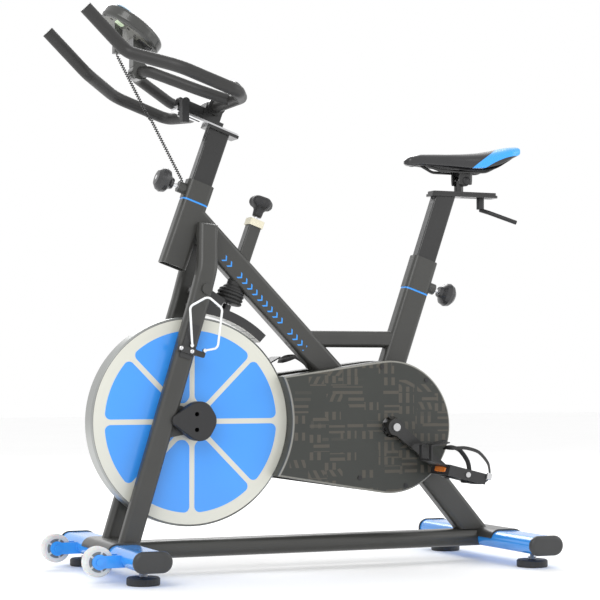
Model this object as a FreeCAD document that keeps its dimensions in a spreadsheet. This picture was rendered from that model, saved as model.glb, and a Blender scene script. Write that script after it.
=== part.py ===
import FreeCAD, Part
import math
import os
import re

import Sketcher

from FreeCAD import Placement, Rotation, Vector

# Indoor cycle (spin bike). X runs from the handlebar to the saddle, Y towards the rider's right,
# Z up. The origin is on the floor, midway between the two stabilisers, in the middle plane.

DIMENSIONS = {
    # overall stance
    "half_wheelbase": 462, "origin_shift": 24.9, "stabiliser_length": 540,
    "stabiliser_depth": 80, "stabiliser_height": 40, "stabiliser_axis_height": 52, "tube_wall": 2,
    "cap_thickness": 11, "cap_overhang": 2.5, "cap_round": 8.5,
    "rail_width": 60, "bracket_thickness": 4, "bracket_length": 190,
    "foot_radius": 35, "foot_thickness": 17, "foot_offset": 211, "stem_radius": 5,
    "wheel_radius": 32, "wheel_width": 24, "wheel_reach": 84, "wheel_plate": 5, "wheel_plate_clearance": 1.5,
    "wheel_offset": 162, "wheel_height": 47, "wheel_bolt_radius": 5,
    # frame tubes
    "tube_depth": 60, "tube_width": 40, "tube_corner": 11, "top_tube_height": 38, "top_tube_width": 34,
    "top_tube_level": 516, "crank_axis_position": 174.6, "crank_axis_height": 315.5,
    "main_tube_slope": 45.62, "seat_lean": 19, "seat_ring_position": 271, "seat_ring_height": 631,
    "head_lean": 19.5, "head_ring_position": -278, "head_ring_height": 819, "head_tube_length": 153,
    "rear_leg_slope": 49.4, "rear_leg_foot": 414,
    # posts and collars
    "post_depth": 50, "post_width": 30, "post_wall": 2.5, "running_gap": 0.05, "head_collar_height": 44,
    "seat_collar_height": 78, "sleeve_length": 100, "head_post_rise": 168, "seat_post_rise": 230,
    "post_insertion": 150, "boss_radius": 13, "boss_length": 16, "pin_radius": 5,
    # fork, flywheel and brake
    "flywheel_position": -293.5, "flywheel_height": 331.6, "flywheel_radius": 230, "flywheel_width": 50,
    "flywheel_face": -36, "rim_thickness": 21, "web_thickness": 7, "hub_radius": 34, "axle_radius": 6,
    "fork_depth": 46, "fork_thickness": 30, "fork_gap": 88,
    "fork_lean": 16.8, "fork_foot": -445, "knee_height": 600, "dropout_thickness": 10,
    "pivot_position": -273, "pivot_height": 622, "pivot_radius": 5,
    "arm_gap": 9, "arm_thickness": 22, "tension_position": -157, "tension_height": 706,
    "tension_post_size": 30, "tension_post_rise": 66, "rod_radius": 4, "rod_reach": 122, "bellows_radius": 31,
    # drive
    "belt_plane": 31, "belt_width": 12, "belt_thickness": 4, "drive_pulley_radius": 92,
    "hub_pulley_radius": 28, "shell_radius": 24, "bearing_radius": 19, "crank_axle_radius": 10,
    "crank_length": 170, "crank_angle": 38.4, "crank_face": 82, "crank_thickness": 18,
    "pedal_length": 96, "pedal_width": 88, "pedal_height": 24, "pedal_axle_radius": 6,
    "guard_face": 75, "guard_radius": 151, "guard_wall": 2.5, "guard_inner": 24, "guard_hub_gap": 6,
    # handlebar, console
    "bar_radius": 14, "arm_spacing": 150, "arm_bow": 230, "console_length": 150, "console_width": 124,
    "console_thickness": 30, "console_slope": 36, "lead_radius": 4, "rail_reach": 114,
    # saddle
    "saddle_nose": 246, "saddle_length": 288, "saddle_width": 158, "saddle_top": 956,
    "seat_rail_centre": 399, "seat_rail_length": 174, "seat_rail_height": 855,
}

DOC = FreeCAD.newDocument("indoor_cycle")
NODES = {}


def make_sheet():
    """Driving dimensions, one alias for each."""
    sheet = DOC.addObject("Spreadsheet::Sheet", "Dims")
    for row, (name, value) in enumerate(DIMENSIONS.items(), start=1):
        sheet.set(f"A{row}", name)
        sheet.set(f"B{row}", str(value))
        sheet.setAlias(f"B{row}", name)
    DOC.recompute()
    return sheet


S = make_sheet()


def cells(text):
    """An expression in which every word is a cell of the sheet."""
    return re.sub(r"[a-z][a-z_]*[a-z]", lambda word: "Dims." + word.group(0), text)


def bind(item, prop, text):
    item.setExpression(prop, cells(str(text)))


def leaning(x, z, lean, y=0):
    """A local frame whose Z axis leans back by an angle in degrees."""
    return Placement(Vector(x, y, z), Rotation(Vector(0, 1, 0), lean))


def across(x, y, z):
    """A local frame whose Z axis runs along the row's Y axis."""
    return Placement(Vector(x, y, z), Rotation(Vector(1, 0, 0), -90))


def node(item, label=None):
    if label:
        item.Label = label
    NODES[item.Label] = item
    return item


def point_at(sketch, index, end, x, y):
    """Fix one end of a line by its two coordinates, bound to the sheet."""
    for kind, text in (("DistanceX", x), ("DistanceY", y)):
        name = f"{kind}_{index}"
        row = sketch.addConstraint(Sketcher.Constraint(kind, index, end, 1.0))
        sketch.renameConstraint(row, name)
        sketch.setExpression("Constraints." + name, cells(str(text)))


def plane_of(body, role):
    return next(item for item in body.Origin.OriginFeatures if item.Role == role)


def outline_sketch(body, role, outline, name):
    """A closed polygon whose corners are pairs of expressions."""
    sketch = body.newObject("Sketcher::SketchObject", name)
    sketch.AttachmentSupport = [(plane_of(body, role), "")]
    sketch.MapMode = "FlatFace"
    count = len(outline)
    for index in range(count):
        angle = 2 * math.pi * index / count
        after = 2 * math.pi * (index + 1) / count
        start = Vector(100 + 10 * math.cos(angle), 100 + 10 * math.sin(angle), 0)
        finish = Vector(100 + 10 * math.cos(after), 100 + 10 * math.sin(after), 0)
        sketch.addGeometry(Part.LineSegment(start, finish), False)
    for index in range(count):
        following = (index + 1) % count
        sketch.addConstraint(Sketcher.Constraint("Coincident", index, 2, following, 1))
    for index, (x, y) in enumerate(outline):
        point_at(sketch, index, 1, x, y)
    return sketch


def turned(label, profile, placement):
    """A piece turned about its own Z axis from (radius, height) corners."""
    body = DOC.addObject("PartDesign::Body", label)
    sketch = outline_sketch(body, "XZ_Plane", profile, label + "_profile")
    revolution = body.newObject("PartDesign::Revolution", label + "_turn")
    revolution.Profile = sketch
    revolution.ReferenceAxis = (sketch, ["V_Axis"])
    revolution.Angle = 360
    body.Placement = placement
    return body


def rectangle(depth, width):
    half_depth = f"({depth}) / 2"
    half_width = f"({width}) / 2"
    return [(f"-{half_depth}", f"-{half_width}"), (half_depth, f"-{half_width}"),
            (half_depth, half_width), (f"-{half_depth}", half_width)]


def lengthwise_edges(shape, half_depth, half_width):
    """Names of the edges that run along Z at the corners of a rectangle of the given halves."""
    found = []
    for index, edge in enumerate(shape.Edges, start=1):
        ends = [vertex.Point for vertex in edge.Vertexes]
        if len(ends) != 2 or abs(ends[0].z - ends[1].z) < 1:
            continue
        at_corner = abs(abs(ends[0].x) - half_depth) < 0.01 and abs(abs(ends[0].y) - half_width) < 0.01
        upright = abs(ends[0].x - ends[1].x) < 0.01 and abs(ends[0].y - ends[1].y) < 0.01
        if at_corner and upright:
            found.append(f"Edge{index}")
    return found


def bar(label, depth, width, corner, length, placement, bore=None):
    """A bar or tube of rounded rectangular section along its own Z axis. bore is (depth, width, corner)."""
    if bore:
        outside = bar(label + "_outside", depth, width, corner, length, placement)
        hollow = bar(label + "_hollow", *bore, f"({length}) + 2", shifted(placement, -1))
        return cut(label, outside, [hollow])
    body = DOC.addObject("PartDesign::Body", label)
    pad = body.newObject("PartDesign::Pad", label + "_pad")
    pad.Profile = outline_sketch(body, "XY_Plane", rectangle(depth, width), label + "_section")
    bind(pad, "Length", length)
    DOC.recompute()
    half_size = [value / 2 for value in extent(body.Shape)]
    fillet = body.newObject("PartDesign::Fillet", label + "_round")
    fillet.Base = (pad, lengthwise_edges(pad.Shape, *half_size))
    bind(fillet, "Radius", corner)
    body.Placement = placement
    return body


def extent(shape):
    box = shape.BoundBox
    return box.XLength, box.YLength


def frame_tube(label, length, placement, wall="tube_wall"):
    """The standard frame tube."""
    bore = (f"tube_depth - 2 * {wall}", f"tube_width - 2 * {wall}", f"tube_corner - {wall}")
    return bar(label, "tube_depth", "tube_width", "tube_corner", length, placement, bore)


def frame_bar(label, length, placement):
    """The solid outside of the standard frame tube, used to trim what meets it."""
    return bar(label, "tube_depth", "tube_width", "tube_corner", length, placement)


def box(label, length, width, height, placement, offset):
    """A box whose sides are expressions and whose corner is offset in the local frame."""
    item = DOC.addObject("Part::Box", label)
    bind(item, "Length", length)
    bind(item, "Width", width)
    bind(item, "Height", height)
    item.Placement = placement.multiply(Placement(Vector(*offset), Rotation()))
    return item


def rod(label, radius, height, placement):
    item = DOC.addObject("Part::Cylinder", label)
    bind(item, "Radius", radius)
    bind(item, "Height", height)
    item.Placement = placement
    return item


def cut(label, base, tools):
    item = DOC.addObject("Part::Cut", label)
    item.Base = base
    if len(tools) == 1:
        item.Tool = tools[0]
    else:
        union = DOC.addObject("Part::MultiFuse", label + "_tools")
        union.Shapes = tools
        item.Tool = union
    return item


def fuse(label, pieces):
    item = DOC.addObject("Part::MultiFuse", label)
    item.Shapes = pieces
    item.Refine = True
    return item


def group(label, pieces):
    """Identical or paired separate solids kept in one node."""
    item = DOC.addObject("Part::Compound", label)
    item.Links = pieces
    return item


def feature(label, shape):
    item = DOC.addObject("Part::Feature", label)
    item.Shape = shape
    return item


def rounded_path(points, radii):
    """Straight runs through the points, joined by tangent arcs of the given radii."""
    edges = []
    start = points[0]
    for index in range(1, len(points) - 1):
        corner = points[index]
        back = (points[index - 1] - corner).normalize()
        ahead = (points[index + 1] - corner).normalize()
        half_turn = (math.pi - back.getAngle(ahead)) / 2
        trim = radii[index - 1] * math.tan(half_turn)
        first = corner + back * trim
        last = corner + ahead * trim
        bisector = (back + ahead).normalize()
        centre = corner + bisector * (radii[index - 1] / math.cos(half_turn))
        middle = centre - bisector * radii[index - 1]
        edges.append(Part.LineSegment(start, first).toShape())
        edges.append(Part.Arc(first, middle, last).toShape())
        start = last
    edges.append(Part.LineSegment(start, points[-1]).toShape())
    return Part.Wire(edges)


def swept_round(points, radii, radius):
    """A round bar that follows a rounded path."""
    path = rounded_path(points, radii)
    direction = points[1] - points[0]
    ring = Part.Wire([Part.Circle(points[0], direction, radius).toShape()])
    shell = Part.BRepOffsetAPI.MakePipeShell(path)
    shell.setFrenetMode(False)
    shell.add(ring)
    shell.build()
    shell.makeSolid()
    return shell.shape()


def mirrored(shape):
    """The same shape on the other side of the middle plane."""
    return shape.mirror(Vector(0, 0, 0), Vector(0, 1, 0))


def head_frame(along=0):
    frame = leaning(S.head_ring_position, S.head_ring_height, S.head_lean)
    return frame.multiply(Placement(Vector(0, 0, along), Rotation()))


def seat_frame(along=0):
    frame = leaning(S.seat_ring_position, S.seat_ring_height, S.seat_lean)
    return frame.multiply(Placement(Vector(0, 0, along), Rotation()))


def seat_tube_reach():
    """Distance along the seat tube from the crank axle's height to its top ring."""
    return (S.seat_ring_height - S.crank_axis_height) / math.cos(math.radians(S.seat_lean))


def rise_above_crank():
    """Height of the top tube's axis above the crank axle."""
    return S.top_tube_level - S.crank_axis_height


def main_frame():
    """Local frame at the crank axle whose Z axis climbs forwards to the head tube."""
    lean = S.main_tube_slope - 90
    return leaning(S.crank_axis_position, S.crank_axis_height, lean)


def main_tube_reach():
    """Distance from the crank axle to the head tube's axis along the main tube."""
    slope = math.radians(S.main_tube_slope)
    lean = math.radians(S.head_lean)
    gap_x = S.crank_axis_position - S.head_ring_position
    gap_z = S.head_ring_height - S.crank_axis_height
    turn = math.cos(slope) * math.cos(lean) + math.sin(slope) * math.sin(lean)
    return (gap_x * math.cos(lean) + gap_z * math.sin(lean)) / turn


# ---------------------------------------------------------------- base

def stabiliser_bar(label, side, grow="0", length="stabiliser_length"):
    """The flat oval of a stabiliser across the bike, grown all round by an expression."""
    placement = across(side * S.half_wheelbase, 0, S.stabiliser_axis_height)
    item = bar(label, f"stabiliser_depth + 2 * {grow}", f"stabiliser_height + 2 * {grow}",
               f"stabiliser_height / 2 + {grow} - 0.1", length, placement)
    return item


def centre_across(item, length):
    item.Placement = Placement(item.Placement.Base - Vector(0, length / 2, 0), item.Placement.Rotation)
    return item


def make_stabiliser(label, side):
    wall = "tube_wall"
    bore = (f"stabiliser_depth - 2 * {wall}", f"stabiliser_height - 2 * {wall}",
            f"stabiliser_height / 2 - {wall} - 0.1")
    placement = across(side * S.half_wheelbase, -S.stabiliser_length / 2, S.stabiliser_axis_height)
    tube = bar(label + "_tube", "stabiliser_depth", "stabiliser_height", "stabiliser_height / 2 - 0.1",
               "stabiliser_length", placement, bore)
    drills = []
    for hand in (-1, 1):
        place = Placement(Vector(side * S.half_wheelbase, hand * S.foot_offset, 0), Rotation())
        drills.append(rod(f"{label}_drill_{hand + 1}", "stem_radius + running_gap",
                          "stabiliser_axis_height", place))
    node(cut(label, tube, drills))


def make_end_caps():
    caps = []
    for side in (-1, 1):
        for hand in (-1, 1):
            name = f"cap_{side + 1}_{hand + 1}"
            face = S.stabiliser_length / 2
            near = face if hand > 0 else -face - S.cap_thickness
            plug_depth = 18
            far = face - plug_depth if hand > 0 else -face
            outer = bar(name, "stabiliser_depth + 2 * cap_overhang", "stabiliser_height + 2 * cap_overhang",
                        "stabiliser_height / 2 + cap_overhang - 0.1", "cap_thickness",
                        across(side * S.half_wheelbase, near, S.stabiliser_axis_height))
            DOC.recompute()
            end = hand * (face + S.cap_thickness)
            rim = [edge for edge in outer.Shape.Edges if abs(edge.CenterOfMass.y - end) < 0.01]
            outer = feature(name + "_domed", outer.Shape.makeFillet(S.cap_round, rim))
            plug = bar(name + "_plug", "stabiliser_depth - 2 * tube_wall - 0.2",
                       "stabiliser_height - 2 * tube_wall - 0.2", "stabiliser_height / 2 - tube_wall - 0.3",
                       plug_depth, across(side * S.half_wheelbase, far, S.stabiliser_axis_height))
            caps.append(fuse(name + "_whole", [outer, plug]))
    node(group("end_caps", caps))


def make_brackets():
    """Saddle plates welded over the middle of each stabiliser."""
    plates = []
    for side in (-1, 1):
        name = f"bracket_{side + 1}"
        outer = centre_across(stabiliser_bar(name + "_outer", side, "bracket_thickness", "bracket_length"),
                              S.bracket_length)
        inner = centre_across(stabiliser_bar(name + "_inner", side), S.stabiliser_length)
        ring = cut(name + "_ring", outer, [inner])
        lower = box(name + "_lower", "2 * stabiliser_depth", "bracket_length", "stabiliser_axis_height",
                    Placement(), (side * S.half_wheelbase - S.stabiliser_depth, -S.bracket_length / 2, 4))
        plates.append(cut(name, ring, [lower]))
    return node(group("stabiliser_brackets", plates))


def stabiliser_blocks(tag):
    """Solid outsides of both stabilisers and of their saddle plates, for trimming."""
    blocks = []
    for side in (-1, 1):
        blocks.append(centre_across(stabiliser_bar(f"{tag}_block_{side + 1}", side), S.stabiliser_length))
        blocks.append(centre_across(stabiliser_bar(f"{tag}_plate_{side + 1}", side, "bracket_thickness",
                                                   "bracket_length"), S.bracket_length))
    return blocks


def rail_bar(label, bore=None):
    placement = Placement(Vector(-S.half_wheelbase, 0, S.stabiliser_axis_height),
                          Rotation(Vector(0, 1, 0), 90))
    return bar(label, "stabiliser_height", "rail_width", "stabiliser_height / 2 - 0.1",
               "2 * half_wheelbase", placement, bore)


def make_base_rail(plates):
    wall = "tube_wall"
    bore = (f"stabiliser_height - 2 * {wall}", f"rail_width - 2 * {wall}",
            f"stabiliser_height / 2 - {wall} - 0.1")
    tube = rail_bar("base_rail_tube", bore)
    blocks = [centre_across(stabiliser_bar(f"rail_block_{side + 1}", side), S.stabiliser_length)
              for side in (-1, 1)]
    node(cut("base_rail", tube, blocks + [plates]))


def make_feet():
    corners = {"front_left_foot": (-1, -1), "front_right_foot": (-1, 1),
               "rear_left_foot": (1, -1), "rear_right_foot": (1, 1)}
    profile = [("0", "0"), ("foot_radius - 2", "0"), ("foot_radius", "2"),
               ("foot_radius", "foot_thickness - 3"), ("foot_radius - 3", "foot_thickness"),
               ("stem_radius + 4", "foot_thickness"), ("stem_radius + 4", "foot_thickness + 6"),
               ("stem_radius", "foot_thickness + 6"), ("stem_radius", "stabiliser_axis_height - 8"),
               ("0", "stabiliser_axis_height - 8")]
    for label, (side, hand) in corners.items():
        place = Placement(Vector(side * S.half_wheelbase, hand * S.foot_offset, 0), Rotation())
        node(turned(label, profile, place))


def make_transport_wheels():
    wheel_x = -S.half_wheelbase - S.wheel_reach
    profile = [("wheel_bolt_radius + running_gap", "0"), ("wheel_radius - 4", "0"),
               ("wheel_radius", "4"), ("wheel_radius", "wheel_width - 4"),
               ("wheel_radius - 4", "wheel_width"), ("wheel_bolt_radius + running_gap", "wheel_width")]
    arms = []
    for hand, label in ((-1, "left_transport_wheel"), (1, "right_transport_wheel")):
        middle = hand * S.wheel_offset
        node(turned(label, profile, across(wheel_x, middle - S.wheel_width / 2, S.wheel_height)))
        plate_gap = S.wheel_width + 2 * S.wheel_plate_clearance
        first = middle - plate_gap / 2 - S.wheel_plate
        pieces = [rod(f"wheel_shaft_{hand + 1}", "wheel_bolt_radius", plate_gap + 2 * S.wheel_plate,
                      across(wheel_x, first, S.wheel_height)),
                  rod(f"wheel_bolt_head_{hand + 1}", "wheel_bolt_radius + 3", plate_gap + 2 * S.wheel_plate + 8,
                      across(wheel_x, first - 4, S.wheel_height))]
        gap = rod(f"wheel_gap_{hand + 1}", "wheel_radius + 3", plate_gap,
                  across(wheel_x, middle - plate_gap / 2, S.wheel_height))
        for place in (first, middle + plate_gap / 2):
            tag = f"{hand + 1}_{int(place > middle)}"
            pieces.append(rod("bracket_eye_" + tag, 16, "wheel_plate", across(wheel_x, place, S.wheel_height)))
            pieces.append(box("bracket_tongue_" + tag, "wheel_reach", "wheel_plate", 26, Placement(),
                              (wheel_x, place, S.wheel_height - 13)))
        plates = fuse(f"wheel_plates_{hand + 1}", pieces)
        shaft = rod(f"wheel_axle_{hand + 1}", "wheel_bolt_radius", plate_gap + 2,
                    across(wheel_x, middle - plate_gap / 2 - 1, S.wheel_height))
        whole = fuse(f"wheel_bracket_{hand + 1}",
                     [cut(f"wheel_clevis_{hand + 1}", plates, [gap]), shaft])
        block = centre_across(stabiliser_bar(f"wheel_block_{hand + 1}", -1), S.stabiliser_length)
        arms.append(cut(f"wheel_arm_{hand + 1}", whole, [block]))
    node(group("wheel_brackets", arms))


# ---------------------------------------------------------------- frame

def shell_block(label):
    return rod(label, "shell_radius", "shell_radius + guard_inner + 20",
               across(S.crank_axis_position, -S.guard_inner - 12, S.crank_axis_height))


def tension_frame(along=0):
    frame = leaning(S.tension_position, S.tension_height, S.head_lean)
    return frame.multiply(Placement(Vector(0, 0, along), Rotation()))


def make_frame_tubes():
    head_bar = frame_bar("head_block", "head_tube_length", head_frame(-S.head_tube_length))
    node(frame_tube("head_tube", "head_tube_length", head_frame(-S.head_tube_length)))
    reach = main_tube_reach()
    main = frame_tube("main_tube_blank", reach, main_frame())
    drill = rod("rod_drill", "rod_radius + 1", 200, tension_frame(-140))
    node(cut("main_tube", main, [head_bar, shell_block("shell_block_main"), drill]))
    main_bar = frame_bar("main_block", reach, main_frame())
    seat_length = seat_tube_reach()
    seat = frame_tube("seat_tube_blank", seat_length, seat_frame(-seat_length))
    node(cut("seat_tube", seat, [main_bar, shell_block("shell_block_seat")]))
    seat_bar = frame_bar("seat_block", seat_length, seat_frame(-seat_length))
    front_x = S.crank_axis_position - rise_above_crank() / math.tan(math.radians(S.main_tube_slope))
    drop = S.seat_ring_height - S.top_tube_level
    back_x = S.seat_ring_position - drop * math.tan(math.radians(S.seat_lean))
    bore = ("top_tube_height - 2 * tube_wall", "top_tube_width - 2 * tube_wall", "tube_corner - tube_wall")
    beam = bar("top_tube_blank", "top_tube_height", "top_tube_width", "tube_corner", back_x - front_x,
               Placement(Vector(front_x, 0, S.top_tube_level), Rotation(Vector(0, 1, 0), 90)), bore)
    node(cut("top_tube", beam, [main_bar, seat_bar]))
    leg_length = 330
    leg_lean = -(90 - S.rear_leg_slope)
    foot = leaning(S.rear_leg_foot, 77, leg_lean)
    leg = frame_tube("rear_leg_blank", leg_length, foot.multiply(Placement(Vector(0, 0, -50), Rotation())))
    front = box("rear_leg_front", 300, 80, 400, seat_frame(-seat_length), (-300, -40, 0))
    blocks = stabiliser_blocks("rear_leg")
    floor = box("rear_leg_floor", 400, 80, "stabiliser_axis_height + stabiliser_height / 2", Placement(),
                (250, -40, 0))
    node(cut("rear_leg", leg, [seat_bar, main_bar, shell_block("shell_block_leg"), front, floor] + blocks))
    return head_bar, main_bar


def make_bottom_bracket():
    low = -S.guard_inner - 12
    profile = [("bearing_radius", low), ("shell_radius", low), ("shell_radius", 21), ("bearing_radius", 21)]
    node(turned("bottom_bracket_shell", profile, across(S.crank_axis_position, 0, S.crank_axis_height)))
    rings = []
    for index, start in enumerate((low, 9)):
        inner = "crank_axle_radius + running_gap"
        ring = [(inner, start), ("bearing_radius", start), ("bearing_radius", start + 12),
                (inner, start + 12)]
        rings.append(turned(f"crank_bearing_{index}", ring,
                            across(S.crank_axis_position, 0, S.crank_axis_height)))
    return rings


def fork_leg_shape():
    """One flat-oval leg on the left, straight from the floor plate, then bent upright and inwards."""
    lean = math.tan(math.radians(S.fork_lean))
    outer = S.fork_gap / 2 + S.fork_thickness / 2
    floor = S.stabiliser_axis_height + S.stabiliser_height / 2
    knee = Vector(S.fork_foot + lean * (S.knee_height - floor), -outer, S.knee_height)
    foot = Vector(S.fork_foot - lean * 15, -outer, floor - 15)
    shoulder = Vector(knee.x + 18, -outer, knee.z + 68)
    crown = Vector(knee.x + 30, -S.tube_width / 2 - 8, knee.z + 168)
    path = rounded_path([foot, knee, shoulder, crown], [260, 90])
    half_depth = S.fork_depth / 2
    half_thick = S.fork_thickness / 2
    flat = half_depth - half_thick + 3
    corner = half_thick - 0.2
    along = (knee - foot).normalize()
    side = Vector(0, 1, 0)
    ahead = side.cross(along)
    corners = []
    for x, y in ((-1, -1), (1, -1), (1, 1), (-1, 1)):
        corners.append(foot + ahead * (x * (flat + corner - 3)) + side * (y * half_thick))
    section = Part.makePolygon(corners + corners[:1])
    shell = Part.BRepOffsetAPI.MakePipeShell(path)
    shell.setFrenetMode(False)
    shell.add(section)
    shell.build()
    shell.makeSolid()
    return shell.shape()


def leg_centre(height):
    """X of the leg's centre line at a height below the knee."""
    floor = S.stabiliser_axis_height + S.stabiliser_height / 2
    return S.fork_foot + math.tan(math.radians(S.fork_lean)) * (height - floor)


def dropout_shape():
    """Plate welded to the back of the left leg, which holds the axle behind it."""
    inner = -S.fork_gap / 2 - S.dropout_thickness
    hub = Vector(S.flywheel_position, inner, S.flywheel_height)
    start = Vector(leg_centre(S.flywheel_height), inner, S.flywheel_height)
    corners = [start + Vector(-4, 0, -38), hub + Vector(8, 0, -22), hub + Vector(8, 0, 22),
               start + Vector(20, 0, 42)]
    plate = Part.Face(Part.makePolygon(corners + corners[:1])).extrude(Vector(0, S.dropout_thickness, 0))
    round_end = Part.makeCylinder(22, S.dropout_thickness, hub, Vector(0, 1, 0))
    return plate.fuse(round_end)


def round_long_edges(shape, radius, shortest):
    """Round the edges that are at least the given length."""
    edges = [edge for edge in shape.Edges if edge.Length > shortest]
    return shape.makeFillet(radius, edges)


def make_fork(head_bar, main_bar):
    blocks = stabiliser_blocks("fork")
    left = fork_leg_shape()
    left = round_long_edges(left, S.fork_thickness / 2 - 4, 35)
    left = left.fuse(dropout_shape()).removeSplitter()
    for label, shape in (("left_fork_leg", left), ("right_fork_leg", mirrored(left))):
        blank = feature(label + "_blank", shape)
        axle_hole = rod(label + "_axle_hole", "axle_radius", 240,
                        across(S.flywheel_position, -120, S.flywheel_height))
        pivot_hole = rod(label + "_pivot_hole", "pivot_radius", 240,
                         across(S.pivot_position, -120, S.pivot_height))
        node(cut(label, blank, [head_bar, main_bar, axle_hole, pivot_hole] + blocks))


def make_collars():
    """Plastic sleeves in the tops of the head and seat tubes, each with a boss for its pull pin."""
    collars = []
    for name, frame, height in (("head", head_frame, S.head_collar_height),
                                ("seat", seat_frame, S.seat_collar_height)):
        opening = ("post_depth + 2 * running_gap", "post_width + 2 * running_gap", "4")
        upper = bar(name + "_collar_top", "tube_depth + 2", "tube_width + 2", "tube_corner + 1", height,
                    frame(), opening)
        sleeve = bar(name + "_sleeve", "tube_depth - 2 * tube_wall - 0.2", "tube_width - 2 * tube_wall - 0.2",
                     "tube_corner - tube_wall", "sleeve_length + 1", frame(-S.sleeve_length), opening)
        whole = fuse(name + "_collar", [upper, sleeve])
        collars.append(whole)
    return collars


def pin_frame(name):
    """Local frame at the tube wall where a pull pin enters, Z pointing out of the wall."""
    if name == "head":
        base = head_frame(S.head_collar_height / 2 - 2)
        turn = Rotation(Vector(0, 1, 0), -90)
        offset = Vector(-S.tube_depth / 2 - 1, 0, 0)
    else:
        base = seat_frame(S.head_collar_height / 2 - 2)
        turn = Rotation(Vector(0, 1, 0), 90)
        offset = Vector(S.tube_depth / 2 + 1, 0, 0)
    return base.multiply(Placement(offset, turn))


def shifted(frame, along):
    return frame.multiply(Placement(Vector(0, 0, along), Rotation()))


def make_pull_pins(collars):
    """Bosses on the collars, and the sprung pins with their hand knobs."""
    finished = []
    for collar, name in zip(collars, ("head", "seat")):
        frame = pin_frame(name)
        boss = rod(name + "_boss", "boss_radius", "boss_length + 5", shifted(frame, -5))
        hole = rod(name + "_pin_hole", "pin_radius + running_gap", 60, shifted(frame, -12))
        post = bar(name + "_post_clear", "post_depth + 2 * running_gap", "post_width + 2 * running_gap", "4",
                   300, head_frame(-100) if name == "head" else seat_frame(-100))
        joined = fuse(name + "_collar_with_boss", [collar, boss])
        finished.append(cut(name + "_collar_drilled", joined, [hole, post]))
        inside = 5.4
        profile = [("0", -inside), ("pin_radius", -inside), ("pin_radius", "boss_length + 13"),
                   ("boss_radius - 1", "boss_length + 13"), ("boss_radius + 2", "boss_length + 20"),
                   ("boss_radius + 12", "boss_length + 27"), ("boss_radius + 15", "boss_length + 37"),
                   ("boss_radius + 12", "boss_length + 46"), ("boss_radius + 4", "boss_length + 53"),
                   ("0", "boss_length + 54")]
        label = {"head": "handlebar_pin_knob", "seat": "seat_pin_knob"}[name]
        node(turned(label, profile, frame))
    node(group("post_collars", finished))


# ---------------------------------------------------------------- flywheel and drive

def make_flywheel():
    hub = across(S.flywheel_position, S.flywheel_face, S.flywheel_height)
    profile = [("bearing_radius - 3", "0"), ("flywheel_radius - 4", "0"), ("flywheel_radius", "4"),
               ("flywheel_radius", "flywheel_width - 4"), ("flywheel_radius - 4", "flywheel_width"),
               ("flywheel_radius - rim_thickness", "flywheel_width"),
               ("flywheel_radius - rim_thickness - 3", "web_thickness"), ("hub_radius", "web_thickness"),
               ("hub_radius - 4", "flywheel_width"), ("bearing_radius - 3", "flywheel_width")]
    node(turned("flywheel", profile, hub))
    rings = []
    for index, start in enumerate(("0", "flywheel_width - 12")):
        outer = "bearing_radius - 3 - running_gap"
        ring = [("axle_radius", start), (outer, start), (outer, f"{start} + 12"),
                ("axle_radius", f"{start} + 12")]
        rings.append(turned(f"hub_bearing_{index}", ring, hub))
    start = "flywheel_width"
    low = "belt_plane - flywheel_face - belt_width / 2 - 1"
    high = "belt_plane - flywheel_face + belt_width / 2"
    profile = [("axle_radius + 1", start), ("22", start), ("22", low), ("hub_pulley_radius + 2", low),
               ("hub_pulley_radius + 2", f"{low} + 1"), ("hub_pulley_radius", f"{low} + 1"),
               ("hub_pulley_radius", high), ("axle_radius + 1", high)]
    node(turned("flywheel_pulley", profile, hub))
    return rings


def make_fork_pins():
    """The flywheel's fixed axle with its nuts, and the brake arm's pivot bolt."""
    leg_side = S.fork_gap / 2 + S.fork_thickness
    axle_side = S.fork_gap / 2 + S.dropout_thickness
    pins = []
    for name, radius, x, z, head, side in (
            ("axle", "axle_radius", S.flywheel_position, S.flywheel_height, 11, axle_side),
            ("pivot", "pivot_radius", S.pivot_position, S.pivot_height, 12, leg_side)):
        shaft = rod(name + "_shaft", radius, 2 * side + 2, across(x, -side - 1, z))
        left = rod(name + "_left_head", head, 5, across(x, -side - 5, z))
        right = rod(name + "_right_head", head, 5, across(x, side, z))
        pins.append(fuse(name + "_pin", [shaft, left, right]))
    node(group("fork_pins", pins))


def make_hub_cover():
    """Rounded three-cornered plastic cover over the left axle end and its dropout plate."""
    side = -(S.fork_gap / 2 + S.fork_thickness)
    corners = [Vector(-71, 0, 4), Vector(14, 0, 57), Vector(46, 0, 3), Vector(14, 0, -57)]
    place = Vector(S.flywheel_position, side - 9, S.flywheel_height)
    depth = 9 + S.fork_thickness - S.dropout_thickness
    plate = Part.Face(Part.makePolygon([corner + place for corner in corners + corners[:1]]))
    solid = plate.extrude(Vector(0, depth, 0))
    upright = [edge for edge in solid.Edges if abs(edge.Length - depth) < 0.01]
    tip = [edge for edge in upright if edge.BoundBox.XMax < place.x - 60]
    solid = solid.makeFillet(32, [edge for edge in upright if edge not in tip])
    tip = [edge for edge in solid.Edges
           if abs(edge.Length - depth) < 0.01 and edge.BoundBox.XMax < place.x - 60]
    solid = solid.makeFillet(13, tip)
    front = [edge for edge in solid.Edges if edge.BoundBox.YLength < 0.01]
    rim = [edge for edge in front if abs(edge.BoundBox.YMin - place.y) < 0.01]
    solid = solid.makeChamfer(2.5, rim)
    item = feature("hub_cover_blank", solid)
    holes = []
    for index, offset in enumerate((-17, 17)):
        holes.append(rod(f"cover_hole_{index}", 5, 30,
                         across(S.flywheel_position - 5, side - 15, S.flywheel_height + offset)))
    pocket = rod("cover_pocket", 13, depth, across(S.flywheel_position, side - 5, S.flywheel_height))
    node(cut("hub_cover", item, holes + [pocket, NODES["left_fork_leg"]]))


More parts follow.
